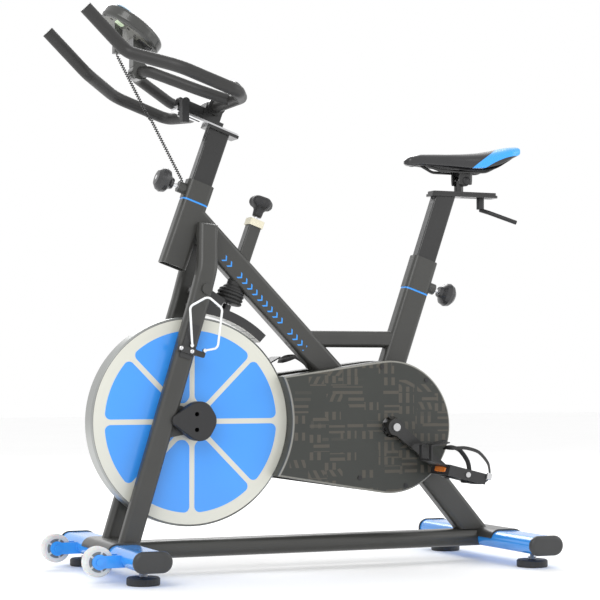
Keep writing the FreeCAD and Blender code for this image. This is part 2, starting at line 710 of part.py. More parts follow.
def belt_loop(radius_drive, radius_hub, width):
    """A stadium-like solid round both pulleys, centred on the belt plane."""
    crank = Vector(S.crank_axis_position, 0, S.crank_axis_height)
    hub = Vector(S.flywheel_position, 0, S.flywheel_height)
    along = hub - crank
    distance = along.Length
    along.normalize()
    lean = math.acos((radius_drive - radius_hub) / distance)
    turned_up = Vector(-along.z, 0, along.x)
    points = []
    for sign in (-1, 1):
        direction = along * math.cos(lean) + turned_up * (sign * math.sin(lean))
        points.append((crank + direction * radius_drive, hub + direction * radius_hub))
    (low_crank, low_hub), (high_crank, high_hub) = points
    edges = [Part.LineSegment(low_crank, low_hub).toShape(),
             Part.Arc(low_hub, hub + along * radius_hub, high_hub).toShape(),
             Part.LineSegment(high_hub, high_crank).toShape(),
             Part.Arc(high_crank, crank - along * radius_drive, low_crank).toShape()]
    face = Part.Face(Part.Wire(edges))
    face.translate(Vector(0, S.belt_plane - width / 2, 0))
    return face.extrude(Vector(0, width, 0))


def make_drive():
    axis = across(S.crank_axis_position, 0, S.crank_axis_height)
    end = "(crank_face + crank_thickness)"
    profile = [("0", f"-{end} - 5"), ("9", f"-{end} - 5"), ("9", f"-{end}"), ("7.5", f"-{end}"),
               ("7.5", "-crank_face"), ("crank_axle_radius", "-crank_face"),
               ("crank_axle_radius", "crank_face"), ("7.5", "crank_face"), ("7.5", end), ("9", end),
               ("9", f"{end} + 5"), ("0", f"{end} + 5")]
    node(turned("crank_axle", profile, axis))
    low = "belt_plane - belt_width / 2 - 1"
    high = "belt_plane + belt_width / 2"
    disc = [("crank_axle_radius", low), ("drive_pulley_radius + 2", low),
            ("drive_pulley_radius + 2", f"{low} + 1"), ("drive_pulley_radius", f"{low} + 1"),
            ("drive_pulley_radius", high), ("drive_pulley_radius - 8", high),
            ("drive_pulley_radius - 10", f"{low} + 5"), ("28", f"{low} + 5"), ("26", high),
            ("crank_axle_radius", high)]
    node(turned("drive_pulley", disc, axis))
    gap = S.running_gap
    outer = belt_loop(S.drive_pulley_radius + gap + S.belt_thickness,
                      S.hub_pulley_radius + gap + S.belt_thickness, S.belt_width)
    inner = belt_loop(S.drive_pulley_radius + gap, S.hub_pulley_radius + gap, S.belt_width + 4)
    belt = outer.cut(inner)
    trim = S.belt_width - 0.4
    node(feature("drive_belt", belt.common(belt_loop(S.drive_pulley_radius + 60,
                                                      S.hub_pulley_radius + 60, trim))))


def pedal_offset(hand):
    """Vector from the crank axle to a pedal axle. The cranks are half a turn apart."""
    angle = math.radians(S.crank_angle)
    return Vector(-hand * S.crank_length * math.cos(angle), 0, hand * S.crank_length * math.sin(angle))


def make_cranks():
    crank = Vector(S.crank_axis_position, 0, S.crank_axis_height)
    axles = []
    for hand, side in ((-1, "left"), (1, "right")):
        reach = pedal_offset(hand)
        face = S.crank_face if hand > 0 else -S.crank_face - S.crank_thickness
        eye = rod(side + "_crank_eye", 19, "crank_thickness", across(crank.x, face, crank.z))
        tip = rod(side + "_crank_tip", 14, "crank_thickness - 4",
                  across(crank.x + reach.x, face + 2, crank.z + reach.z))
        along = reach.normalize()
        normal = Vector(-along.z, 0, along.x)
        start = crank + Vector(0, face + 2, 0)
        finish = start + along * S.crank_length
        outline = [start + normal * 14, start - normal * 14, finish - normal * 11, finish + normal * 11]
        web = Part.Face(Part.makePolygon(outline + outline[:1])).extrude(Vector(0, S.crank_thickness - 4, 0))
        arm = fuse(side + "_crank_solid", [eye, tip, feature(side + "_crank_web", web)])
        bore = rod(side + "_crank_bore", 7.5, 60, across(crank.x, face - 20, crank.z))
        socket = rod(side + "_pedal_socket", "pedal_axle_radius", 60,
                     across(finish.x, face - 20, finish.z))
        node(cut(side + "_crank_arm", arm, [bore, socket]))
        inner = S.crank_face + 2
        length = S.crank_thickness + 6 + S.pedal_width
        base = inner if hand > 0 else -inner - length
        axles.append(rod(side + "_pedal_axle", "pedal_axle_radius", length, across(finish.x, base, finish.z)))
    node(group("pedal_axles", axles))


def make_pedals():
    """Platform pedals with a toe cage at the front of each, on plain bushes."""
    crank = Vector(S.crank_axis_position, 0, S.crank_axis_height)
    tilt = {-1: 14, 1: -6}
    for hand, side in ((-1, "left"), (1, "right")):
        centre = crank + pedal_offset(hand)
        inner = S.crank_face + S.crank_thickness + 5
        base_y = inner if hand > 0 else -inner - S.pedal_width
        frame = Placement(Vector(centre.x, base_y, centre.z), Rotation(Vector(0, 1, 0), tilt[hand]))
        platform = box(side + "_platform", "pedal_length", "pedal_width", "pedal_height", frame,
                       (-S.pedal_length / 2, 0, -S.pedal_height / 2))
        windows = []
        for sign in (-1, 1):
            offset = (sign * (S.pedal_length / 4 + 3) - 14, 16, -20)
            windows.append(box(f"{side}_window_{sign + 1}", 28, "pedal_width - 32", 40, frame, offset))
        core = frame.multiply(Placement(Vector(0, -2, 0), Rotation(Vector(1, 0, 0), -90)))
        bore = rod(side + "_pedal_bore", "pedal_axle_radius + running_gap", "pedal_width + 4", core)
        cage = toe_cage_shape()
        cage.Placement = frame.multiply(Placement(Vector(-S.pedal_length / 2, S.pedal_width / 2, 0),
                                                  Rotation()))
        solid = fuse(side + "_pedal_solid", [platform, feature(side + "_cage", cage)])
        node(cut(side + "_pedal", solid, windows + [bore]))


def toe_cage_shape():
    """A strap-like hoop over the toe, in the frame of the pedal's front edge."""
    half = 30
    thick = 3
    width = 2 * half
    front = [Vector(6, 0, 6), Vector(-42, 0, 10), Vector(-50, 0, 44), Vector(-6, 0, 62)]
    back = [Vector(-6, 0, 62 - thick), Vector(-46.5, 0, 42), Vector(-39, 0, 10 + thick),
            Vector(6, 0, 6 + thick)]
    outline = front + back
    face = Part.Face(Part.makePolygon(outline + outline[:1]))
    face.translate(Vector(0, -half, 0))
    hoop = face.extrude(Vector(0, width, 0))
    slot = Part.makeBox(60, width - 24, 34, Vector(-60, -half + 12, 14))
    return hoop.cut(slot)


# ---------------------------------------------------------------- guards

def tangent_point(origin, centre, radius, sign):
    """Where a line from a point touches a circle, on the chosen side, in the X-Z plane."""
    along = centre - origin
    distance = along.Length
    along.normalize()
    normal = Vector(-along.z, 0, along.x)
    spread = math.acos(radius / distance)
    return centre - along * (radius * math.cos(spread)) + normal * (sign * radius * math.sin(spread))


def guard_outline(inset, front_radius):
    """Outline round the crank axle with a hollow front edge round the flywheel, inset all round."""
    crank = Vector(S.crank_axis_position, 0, S.crank_axis_height)
    hub = Vector(S.flywheel_position, 0, S.flywheel_height)
    radius = S.guard_radius - inset
    front = front_radius + inset
    upper_angle = math.radians(26.0) - inset / front
    lower_angle = math.radians(-33.0) + inset / front
    upper = hub + Vector(math.cos(upper_angle), 0, math.sin(upper_angle)) * front
    lower = hub + Vector(math.cos(lower_angle), 0, math.sin(lower_angle)) * front
    upper_touch = tangent_point(upper, crank, radius, 1)
    lower_touch = tangent_point(lower, crank, radius, -1)
    if upper_touch.z < lower_touch.z:
        upper_touch = tangent_point(upper, crank, radius, -1)
        lower_touch = tangent_point(lower, crank, radius, 1)
    edges = [Part.LineSegment(upper, upper_touch).toShape(),
             Part.Arc(upper_touch, crank + Vector(radius, 0, 0), lower_touch).toShape(),
             Part.LineSegment(lower_touch, lower).toShape(),
             Part.Arc(lower, hub + Vector(front, 0, 0), upper).toShape()]
    return Part.Face(Part.Wire(edges))


def guard_tray(front_radius):
    """An open tray on the left: a flat face outside and a rim towards the frame."""
    depth = S.guard_face - S.guard_inner
    outer = guard_outline(0, front_radius)
    outer.translate(Vector(0, -S.guard_face, 0))
    solid = outer.extrude(Vector(0, depth, 0))
    rim = [edge for edge in solid.Edges if edge.BoundBox.YMax < -S.guard_face + 0.01]
    solid = solid.makeFillet(5, rim)
    inner = guard_outline(S.guard_wall, front_radius)
    inner.translate(Vector(0, -S.guard_face + S.guard_wall, 0))
    return solid.cut(inner.extrude(Vector(0, depth, 0)))


def make_guards():
    crank = Vector(S.crank_axis_position, 0, S.crank_axis_height)
    hub = Vector(S.flywheel_position, 0, S.flywheel_height)
    front_radius = S.flywheel_radius - 5
    tray = guard_tray(front_radius)
    clear = Part.makeCylinder(S.flywheel_radius + S.guard_hub_gap, 120,
                              Vector(hub.x, S.flywheel_face - 4, hub.z), Vector(0, 1, 0))
    opening = Part.makeCylinder(S.crank_axle_radius + 14, 200, Vector(crank.x, -100, crank.z),
                                Vector(0, 1, 0))
    left = tray.cut(clear).cut(opening)
    node(feature("left_guard", left))
    gap = S.flywheel_radius + S.guard_hub_gap
    right = mirrored(guard_tray(gap)).cut(opening)
    plane = S.fork_gap / 2 - 3.5
    tongue = belt_loop(S.drive_pulley_radius + 20, S.hub_pulley_radius + 24, 2.5)
    tongue.translate(Vector(0, plane + 1.25 - S.belt_plane, 0))
    centre_line = Part.makeCylinder(S.axle_radius + 12, 200, Vector(hub.x, -100, hub.z), Vector(0, 1, 0))
    inside = guard_outline(S.guard_wall + 0.01, gap)
    inside.translate(Vector(0, -100, 0))
    tongue = tongue.cut(inside.extrude(Vector(0, 200, 0))).cut(centre_line)
    behind = Part.makeBox(400, 200, 600, Vector(crank.x, -100, 0))
    right = right.fuse(tongue.cut(behind)).removeSplitter()
    slot_width = S.fork_gap / 2 - 3.5 - S.guard_inner + 10
    belt_way = belt_loop(S.drive_pulley_radius + S.belt_thickness + 3,
                         S.hub_pulley_radius + S.belt_thickness + 3, slot_width)
    belt_way.translate(Vector(0, plane - slot_width / 2 - S.belt_plane, 0))
    node(feature("right_guard", right.cut(belt_way)))


def make_guard_screws():
    crank = Vector(S.crank_axis_position, 0, S.crank_axis_height)
    screws = []
    for hand in (-1, 1):
        for index, angle in enumerate((100, 50, -15, -75, -125)):
            turn = math.radians(angle)
            reach = S.guard_radius - 12
            x = crank.x + reach * math.cos(turn)
            z = crank.z + reach * math.sin(turn)
            y = S.guard_face if hand > 0 else -S.guard_face - 2
            screws.append(rod(f"guard_screw_{hand + 1}_{index}", 5, 2, across(x, y, z)))
    node(group("guard_screws", screws))


# ---------------------------------------------------------------- brake

def make_brake(main_bar):
    post = bar("tension_post_blank", "tension_post_size", "tension_post_size", "4",
               "tension_post_rise + 50", tension_frame(-50),
               ("tension_post_size - 2 * tube_wall", "tension_post_size - 2 * tube_wall", "2"))
    node(cut("tension_post", post, [main_bar]))
    cap = bar("tension_cap_blank", "tension_post_size + 6", "tension_post_size + 6", "5", 16,
              tension_frame(S.tension_post_rise))
    hole = rod("cap_hole", "rod_radius + running_gap", 60, tension_frame(S.tension_post_rise - 10))
    node(cut("tension_cap", cap, [hole]))
    top = "tension_post_rise + 16"
    profile = [("0", "-rod_reach"), ("rod_radius", "-rod_reach"), ("rod_radius", f"{top} + 30"),
               ("0", f"{top} + 30")]
    node(turned("tension_rod", profile, tension_frame()))
    grip = [("rod_radius + running_gap", f"{top} + 8"), ("11", f"{top} + 8"), ("13", f"{top} + 24"),
            ("26", f"{top} + 30"), ("28", f"{top} + 42"), ("22", f"{top} + 52"), ("0", f"{top} + 56"),
            ("0", f"{top} + 30.2"), ("rod_radius + running_gap", f"{top} + 30.2")]
    node(turned("tension_knob", grip, tension_frame()))
    low = "-rod_reach + 4"
    sleeve = [("rod_radius + 2", low), ("bellows_radius", low)]
    for fold in range(4):
        sleeve += [("bellows_radius", f"{low} + {8 * fold + 5}"),
                   ("bellows_radius - 4", f"{low} + {8 * fold + 7}"),
                   ("bellows_radius", f"{low} + {8 * fold + 9}")]
    sleeve += [("bellows_radius", "-40"), ("rod_radius + 2", "-40")]
    rubber = turned("bellows_blank", sleeve, tension_frame())
    node(cut("bellows", rubber, [main_bar]))
    hub = Vector(S.flywheel_position, 0, S.flywheel_height)
    inner = S.flywheel_radius + S.arm_gap
    outer = inner + S.arm_thickness
    width = 36
    low = S.flywheel_face + (S.flywheel_width - width) / 2
    ring = Part.makeCylinder(outer, width, Vector(hub.x, low, hub.z), Vector(0, 1, 0))
    ring = ring.cut(Part.makeCylinder(inner, width, Vector(hub.x, low, hub.z), Vector(0, 1, 0)))
    wedge = [hub]
    for angle in (90, 68, 47):
        turn = math.radians(angle)
        wedge.append(hub + Vector(math.cos(turn), 0, math.sin(turn)) * 400)
    sector = Part.Face(Part.makePolygon(wedge + wedge[:1]))
    sector.translate(Vector(0, low, 0))
    shoe = ring.common(sector.extrude(Vector(0, width, 0)))
    pivot = Vector(S.pivot_position, low, S.pivot_height)
    eye = Part.makeCylinder(14, width, pivot, Vector(0, 1, 0))
    link = [pivot + Vector(-13, 0, -4), pivot + Vector(-14, 0, -34), pivot + Vector(50, 0, -36),
            pivot + Vector(60, 0, -20), pivot + Vector(6, 0, 13)]
    web = Part.Face(Part.makePolygon(link + link[:1])).extrude(Vector(0, width, 0))
    pad = Part.makeCylinder(10, 22, Vector(0, 0, 0), Vector(0, 0, 1))
    pad.Placement = tension_frame(-S.rod_reach - 22.5)
    arm = shoe.fuse([eye, web, pad])
    arm = arm.cut(Part.makeCylinder(S.pivot_radius + S.running_gap, 60, pivot - Vector(0, 10, 0),
                                    Vector(0, 1, 0)))
    arm = arm.cut(Part.makeCylinder(inner - 0.01, 60, Vector(hub.x, low - 10, hub.z), Vector(0, 1, 0)))
    clearance = Part.makeCylinder(S.bellows_radius + 2.5, 90, Vector(0, 0, 0), Vector(0, 0, 1))
    clearance.Placement = tension_frame(-S.rod_reach + 2)
    node(feature("brake_arm", arm.cut(clearance).removeSplitter()))


# ---------------------------------------------------------------- bottle cage

def make_bottle_cage():
    """Bent wire hoop on the outside of the left leg, with the plate that holds it."""
    side = -(S.fork_gap / 2 + S.fork_thickness)
    level = 530
    centre = Vector(leg_centre(level), 0, level)
    wire = 2.5
    hoop_points = ((-310, 9, -32), (-323, 30, 52), (-285, 40, 74),
                   (-252, 40, 48), (-259, 30, -38), (-280, 9, -43))
    ends = [Vector(x, side - out, level + rise) for x, out, rise in hoop_points]
    hoop = swept_round(ends, [12, 14, 14, 12], wire)
    plate = Part.makeBox(26, 3, 76, Vector(-13, 0, -62))
    plate.Placement = Placement(centre + Vector(0, side - 3, 0), Rotation(Vector(0, 1, 0), S.fork_lean))
    clamp = Part.makeBox(46, 5, 14, Vector(-26, -5, -51))
    clamp.Placement = plate.Placement
    feet = []
    for end in (ends[0], ends[-1]):
        feet.append(Part.makeCylinder(4, side - end.y, end, Vector(0, 1, 0)))
    node(feature("bottle_cage", hoop.fuse([plate, clamp] + feet).removeSplitter()))


# ---------------------------------------------------------------- handlebar

def make_handlebar_post():
    bore = ("post_depth - 2 * post_wall", "post_width - 2 * post_wall", "2")
    length = "head_post_rise + post_insertion"
    post = bar("handlebar_post_tube", "post_depth", "post_width", "4", length, head_frame(-S.post_insertion),
               bore)
    plate = box("handlebar_post_plate", 78, 44, 7, head_frame(S.head_post_rise), (-34, -22, 0))
    node(fuse("handlebar_post", [post, plate]))
    top = S.head_post_rise + 7
    blank = bar("slide_rail_blank", "rail_reach + 44", 34, 4, 5, head_frame(top))
    blank.Placement = head_frame(top).multiply(Placement(Vector(22 - S.rail_reach / 2, 0, 0), Rotation()))
    slot = box("slide_rail_slot", 54, 10, 20, head_frame(top), (-S.rail_reach + 12, -5, -5))
    node(cut("slide_rail", blank, [slot]))


def carriage_frame():
    """Top face of the slide rail, on the post's axis."""
    return head_frame(S.head_post_rise + 12.3)


def make_carriage():
    frame = carriage_frame()
    shoe = box("carriage_shoe", 104, 36, 8, frame, (-102, -18, 0))
    tube = box("carriage_tube", 78, 28, 20, frame, (-112, -14, 6))
    stem = box("carriage_stem", 42, 34, 40, frame, (-50, -17, 0))
    yoke = rod("carriage_yoke", "bar_radius + 6", 60,
               across(bar_centre().x, -30, bar_centre().z))
    shank = rod("carriage_bolt", 4, 20, frame.multiply(Placement(Vector(-92, 0, -12), Rotation())))
    nut = rod("carriage_nut", 9, 5, frame.multiply(Placement(Vector(-92, 0, -12), Rotation())))
    knob = turned("carriage_knob", [("0", "0"), ("7", "0"), ("7", "34"), ("20", "40"), ("27", "50"),
                                    ("27", "60"), ("20", "68"), ("0", "70")],
                  leaning(bar_centre().x + 10, bar_centre().z + 6, 50))
    body = fuse("carriage_solid", [shoe, tube, stem, yoke, shank, nut, knob])
    bar_hole = rod("carriage_bar_hole", "bar_radius", 80, across(bar_centre().x, -40, bar_centre().z))
    pivot = lever_pivot()
    lever_hole = rod("carriage_lever_hole", 4 + S.running_gap, 30, across(pivot.x, -30, pivot.z))
    node(cut("handlebar_carriage", body, [bar_hole, lever_hole]))


def lever_pivot():
    """Axis of the fore-and-aft clamp lever, near the front of the carriage."""
    return carriage_frame().multVec(Vector(-104, 0, 15))


def bar_centre():
    """Centre of the cross bar, above the carriage's stem."""
    return carriage_frame().multVec(Vector(-29, 0, 36))


def make_handlebar():
    """One bowed outer bar from tip to tip, with an inner loop that carries the console."""
    centre = bar_centre()
    spread = S.arm_spacing
    bow = S.arm_bow
    tip = Vector(-574, -spread, 1206)
    bend = Vector(-482, -spread, 1117)
    grip_start = bend + (tip - bend).normalize() * 34
    half = [grip_start, bend, Vector(-390, -bow, 1080), Vector(-262, -bow - 2, 1036),
            Vector(centre.x + 4, -spread - 14, centre.z + 1), Vector(centre.x, -31, centre.z)]
    corners = [40, 70, 30, 28, 20]
    outer = swept_round(half + [mirror_point(point) for point in reversed(half)],
                        corners + corners[::-1], S.bar_radius)
    grip = Part.makeCylinder(S.bar_radius, (tip - grip_start).Length, grip_start, tip - grip_start)
    outer = outer.fuse([grip, mirrored(grip)])
    loop = [Vector(centre.x - 4, -spread + 38, centre.z + 2), Vector(-300, -spread + 50, 1054),
            Vector(-398, -46, 1097)]
    nose = Vector(-409, 0, 1102)
    inner = swept_round(loop + [nose] + [mirror_point(point) for point in reversed(loop)],
                        [60, 24, 30, 24, 60], S.bar_radius - 1.5)
    node(feature("handlebar", outer.fuse(inner)))


def mirror_point(point):
    return Vector(point.x, -point.y, point.z)


def console_frame():
    return leaning(-424, 1194, S.console_slope)


def make_console():
    """Oval pod on a short bracket clamped to the front of the inner loop."""
    frame = console_frame()
    half = S.console_thickness / 2
    face = Part.Face(Part.Wire([Part.Ellipse(Vector(0, 0, 0), S.console_length / 2,
                                             S.console_width / 2).toShape()]))
    pod = face.extrude(Vector(0, 0, S.console_thickness))
    pod.translate(Vector(0, 0, -half))
    pod = pod.makeFillet(9, [edge for edge in pod.Edges if edge.BoundBox.ZLength < 0.01])
    keys = []
    for index, offset in enumerate((-26, 26)):
        keys.append(Part.makeCylinder(9.15, 8, Vector(48, offset, half - 6)))
    pod = pod.cut(Part.makeCompound(keys))
    pod.Placement = frame
    neck = Part.makeBox(26, 30, 64, Vector(-13, -15, -74))
    neck.Placement = leaning(-412, 1186, 0)
    clamp = Part.makeCylinder(S.bar_radius + 5, 34, Vector(-408, -17, 1102), Vector(0, 1, 0))
    jack = Part.makeBox(18, 18, 66, Vector(-466, -9, 1140))
    bracket = neck.fuse([clamp, jack])
    whole = cut("console", feature("console_shell", pod.fuse(bracket).removeSplitter()),
                [NODES["handlebar"]])
    node(whole)
    for label, offset in (("mode_button", -26), ("reset_button", 26)):
        place = frame.multiply(Placement(Vector(48, offset, half - 3), Rotation()))
        node(turned(label, [("0", "0"), ("9", "0"), ("9", "4"), ("7.5", "5"), ("0", "5")], place))


def lead_points():
    """Straight line of the console lead, from the head tube's gland up to the console."""
    return Vector(-303.5, 0, 862), Vector(-456.5, 0, 1140)


def make_lead():
    low, high = lead_points()
    along = (high - low).normalize()
    meet = low + along * 165
    lower = Part.makeCylinder(S.lead_radius, 165, low, along)
    side = Vector(0, 2 * S.lead_radius + 0.6, 0)
    length = (high - meet).Length + 10
    upper = Part.makeCylinder(S.lead_radius, length, meet - along * 10 + side, along)
    node(feature("console_lead_lower", lower.cut(NODES["post_collars"].Shape)))
    node(feature("console_lead_upper", upper.cut(NODES["console"].Shape)))


def make_handlebar_lever():
    """Cam lever that hangs beside the carriage and turns on a cross pin."""
    pivot = lever_pivot()
    eye = rod("lever_eye", 9, 20, across(pivot.x, -42, pivot.z))
    arm = box("lever_arm", 16, 20, 52, Placement(), (pivot.x - 9, -42, pivot.z - 46))
    pin = rod("lever_pin", 4, 40, across(pivot.x, -42, pivot.z))
    node(fuse("handlebar_lever", [eye, arm, pin]))


# ---------------------------------------------------------------- seat

def make_seat_post():
    bore = ("post_depth - 2 * post_wall", "post_width - 2 * post_wall", "2")
    length = "seat_post_rise + post_insertion + 20"
    post = bar("seat_post_tube", "post_depth", "post_width", "4", length, seat_frame(-S.post_insertion), bore)
    level = S.seat_rail_height
    above = box("seat_post_above", 200, 80, 60, Placement(), (250, -40, level))
    trimmed = cut("seat_post_trimmed", post, [above])
    plate = bar("seat_rail_plate", "seat_rail_length", 40, 5, 6,
                Placement(Vector(S.seat_rail_centre, 0, level), Rotation()))
    slot = box("seat_rail_slot", 84, 11, 20, Placement(), (396, -5.5, level - 5))
    rail = cut("seat_rail_solid", plate, [slot])
    node(fuse("seat_post", [trimmed, rail]))


def make_seat_carriage():
    level = S.seat_rail_height + 6.3
    plate = bar("seat_slide_plate", "seat_rail_length - 6", 36, 5, 6,
                Placement(Vector(S.seat_rail_centre, 0, level), Rotation()))
    stem = rod("seat_stem", 11, 32, Placement(Vector(390, 0, level), Rotation()))
    yoke = rod("seat_yoke", 13, 34, across(398, -17, level + 32))
    hole = rod("seat_yoke_hole", 6.05, 60, across(398, -30, level + 32))
    cheek = box("seat_yoke_gap", 60, 12, 40, Placement(), (370, -6, level + 19))
    solid = fuse("seat_carriage_solid", [plate, stem, yoke])
    node(cut("seat_carriage", solid, [hole, cheek]))


def saddle_pivot():
    return Vector(398, 0, S.seat_rail_height + 6.3 + 32)


def make_saddle():
    """Saddle with its underside shell, rails and clamp stub, tilting about the clamp bolt."""
    nose = S.saddle_nose
    length = S.saddle_length
    stations = [(0.0, 17, -24, -6), (0.06, 24, -26, -3), (0.35, 32, -31, 0), (0.55, 54, -38, 3),
                (0.75, 74, -24, 12), (0.9, 79, -8, 20), (1.0, 60, 3, 20)]
    sections = []
    for share, half, low, high in stations:
        x = nose + share * length
        z_low = S.saddle_top + low
        z_high = S.saddle_top + high
        middle = (z_low + z_high) / 2
        ellipse = Part.Ellipse(Vector(0, 0, 0), half, max((z_high - z_low) / 2, 1)).toShape()
        ellipse.Placement = Placement(Vector(x, 0, middle), Rotation(Vector(0, 1, 0), 90).multiply(
            Rotation(Vector(0, 0, 1), 90)))
        sections.append(Part.Wire([ellipse]))
    seat = Part.makeLoft(sections, True, False)
    pivot = saddle_pivot()
    stub = Part.makeCylinder(6, 44, pivot - Vector(0, 22, 0), Vector(0, 1, 0))
    tab = Part.makeBox(20, 11.4, 40, pivot + Vector(-10, -5.7, -2))
    shape = seat.fuse([stub, tab])
    for hand in (-1, 1):
        y = hand * 22
        rail = [Vector(nose + 52, y * 0.5, S.saddle_top - 26), Vector(nose + 92, y, S.saddle_top - 40),
                Vector(nose + 200, y, S.saddle_top - 40), Vector(nose + 244, y * 1.3, S.saddle_top - 20)]
        shape = shape.fuse(swept_round(rail, [30, 30], 3.5))
        link = Part.makeBox(12, 6, 30, Vector(pivot.x - 6, y - 3, pivot.z - 2))
        shape = shape.fuse(link)
    node(feature("saddle", shape.removeSplitter()))


def make_seat_lever():
    level = S.seat_rail_height
    post = rod("seat_lever_barrel", 9, 26, Placement(Vector(448, 0, level - 26.5), Rotation()))
    spindle = rod("seat_lever_spindle", 4, 27, Placement(Vector(448, 0, level - 26.5), Rotation()))
    path = [Vector(448, 0, level - 28), Vector(460, -22, level - 36), Vector(492, -48, level - 52),
            Vector(516, -52, level - 60)]
    handle = feature("seat_lever_handle", swept_round(path, [14, 14], 5))
    node(fuse("seat_lever", [post, spindle, handle]))


# ---------------------------------------------------------------- assembly

def check_and_write():
    DOC.recompute()
    for item in DOC.Objects:
        if "Invalid" in item.State or "Error" in item.State:
            raise RuntimeError(f"{item.Label} failed: {item.State}")
    for label, item in NODES.items():
        if item.Shape.isNull() or not item.Shape.isValid() or not item.Shape.Solids:
            raise RuntimeError(f"{label} has no valid solid")
    os.makedirs("parts", exist_ok=True)
    for label, item in NODES.items():
        written = item.Shape.copy()
        written.translate(Vector(S.origin_shift, 0, 0))
        written.exportStep(f"parts/{label}.step")
    print(len(NODES), "nodes written")


def main():
    for side, label in ((-1, "front_stabiliser"), (1, "rear_stabiliser")):
        make_stabiliser(label, side)
    make_end_caps()
    plates = make_brackets()
    make_base_rail(plates)
    make_feet()
    make_transport_wheels()
    head_bar, main_bar = make_frame_tubes()
    rings = make_bottom_bracket()
    make_fork(head_bar, main_bar)
    make_pull_pins(make_collars())
    node(group("bearings", rings + make_flywheel()))
    make_fork_pins()
    make_hub_cover()
    make_drive()
    make_cranks()
    make_pedals()
    make_guards()
    make_guard_screws()
    make_brake(main_bar)
    make_bottle_cage()
    make_handlebar_post()
    make_carriage()
    make_handlebar()
    make_console()
    DOC.recompute()
    make_lead()
    make_handlebar_lever()
    make_seat_post()
    make_seat_carriage()
    make_saddle()
    make_seat_lever()
    check_and_write()


main()
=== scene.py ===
"""Finishes and fine pieces of an indoor cycle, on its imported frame."""

import logging
import math
from dataclasses import dataclass
from enum import Enum
from functools import partialmethod

import bpy
import numpy as np
from mathutils import Matrix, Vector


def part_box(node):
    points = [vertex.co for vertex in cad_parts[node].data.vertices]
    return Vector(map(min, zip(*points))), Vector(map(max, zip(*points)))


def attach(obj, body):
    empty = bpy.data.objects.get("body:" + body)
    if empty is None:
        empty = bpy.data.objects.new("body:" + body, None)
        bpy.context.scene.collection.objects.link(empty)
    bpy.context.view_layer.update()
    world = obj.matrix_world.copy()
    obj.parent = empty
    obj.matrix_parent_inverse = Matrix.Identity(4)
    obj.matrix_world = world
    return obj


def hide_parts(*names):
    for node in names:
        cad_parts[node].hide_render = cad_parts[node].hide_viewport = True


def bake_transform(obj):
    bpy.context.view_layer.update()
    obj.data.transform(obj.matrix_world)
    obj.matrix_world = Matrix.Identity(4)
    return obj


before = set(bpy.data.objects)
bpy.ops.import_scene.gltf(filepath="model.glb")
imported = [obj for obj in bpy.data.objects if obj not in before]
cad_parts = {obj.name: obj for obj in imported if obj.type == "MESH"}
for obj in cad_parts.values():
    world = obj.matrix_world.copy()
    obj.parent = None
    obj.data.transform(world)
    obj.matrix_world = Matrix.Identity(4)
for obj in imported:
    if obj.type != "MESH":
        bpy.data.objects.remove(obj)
LOG = logging.getLogger("indoor_cycle")
Array = np.ndarray
Material = bpy.types.Material
Socket = bpy.types.NodeSocket
Colour = tuple[float, float, float]
Point = tuple[float, float, float]

CHARCOAL: Colour = (0.032, 0.032, 0.029)
SKY: Colour = (0.028, 0.29, 0.82)
BLACK: Colour = (0.010, 0.010, 0.010)

HUB: Point = (-0.2686, 0.0, 0.3316)
CRANK_AXIS: Point = (0.1995, 0.0, 0.3155)
CRANK_ARM = 0.170
UP_POST: Point = (0.3338, 0.0, 0.9426)
UP_SEAT: Point = (0.3256, 0.0, 0.9455)
CRISP = 0.0004


class Side(Enum):
    """The rider's two sides, by the sign of Y."""

    LEFT = -1
    RIGHT = 1


# ---------------------------------------------------------------- shader maths

class Val:
    """A number that varies over a surface, with the usual operators.

    above holds it at a floor or more, size is its absolute value, root its square root and wave
    its sine; angle_from is the angle of the point (other, self).
    """

    def __init__(self, maker: "Maker", socket: Socket) -> None:
        """Keep the socket that gives the number."""
        self.maker = maker
        self.socket = socket

    def _maths(self, operation: str, *others: "Val | float") -> "Val":
        """Put this number and others through one Math node."""
        values = dict(enumerate([self, *others]))
        node = self.maker.node("ShaderNodeMath", {"operation": operation}, values)
        return Val(self.maker, node.outputs[0])

    __add__ = __radd__ = partialmethod(_maths, "ADD")
    __mul__ = __rmul__ = partialmethod(_maths, "MULTIPLY")
    __sub__ = partialmethod(_maths, "SUBTRACT")
    __truediv__ = partialmethod(_maths, "DIVIDE")
    size = partialmethod(_maths, "ABSOLUTE")
    above = partialmethod(_maths, "MAXIMUM")
    root = partialmethod(_maths, "SQRT")
    wave = partialmethod(_maths, "SINE")
    angle_from = partialmethod(_maths, "ARCTAN2")

    def __rsub__(self, other: float) -> "Val":
        """Number less this."""
        return (self * -1.0) + other

    def over(self, edge: float, soft: float = CRISP) -> "Val":
        """1 above an edge and 0 below it, with a soft step."""
        return ((self - (edge - soft / 2)) / soft).clamped()

    def under(self, edge: float, soft: float = CRISP) -> "Val":
        """1 below an edge and 0 above it, with a soft step."""
        return 1 - self.over(edge, soft)

    def between(self, low: float, high: float, soft: float = CRISP) -> "Val":
        """1 from low to high, with soft steps."""
        return self.over(low, soft) * self.under(high, soft)

    def clamped(self) -> "Val":
        """Held from 0 to 1."""
        return self._maths("MINIMUM", 1.0).above(0.0)

    def fold(self, period: float) -> "Val":
        """Distance from the nearest multiple of a period."""
        return self._maths("PINGPONG", period / 2)


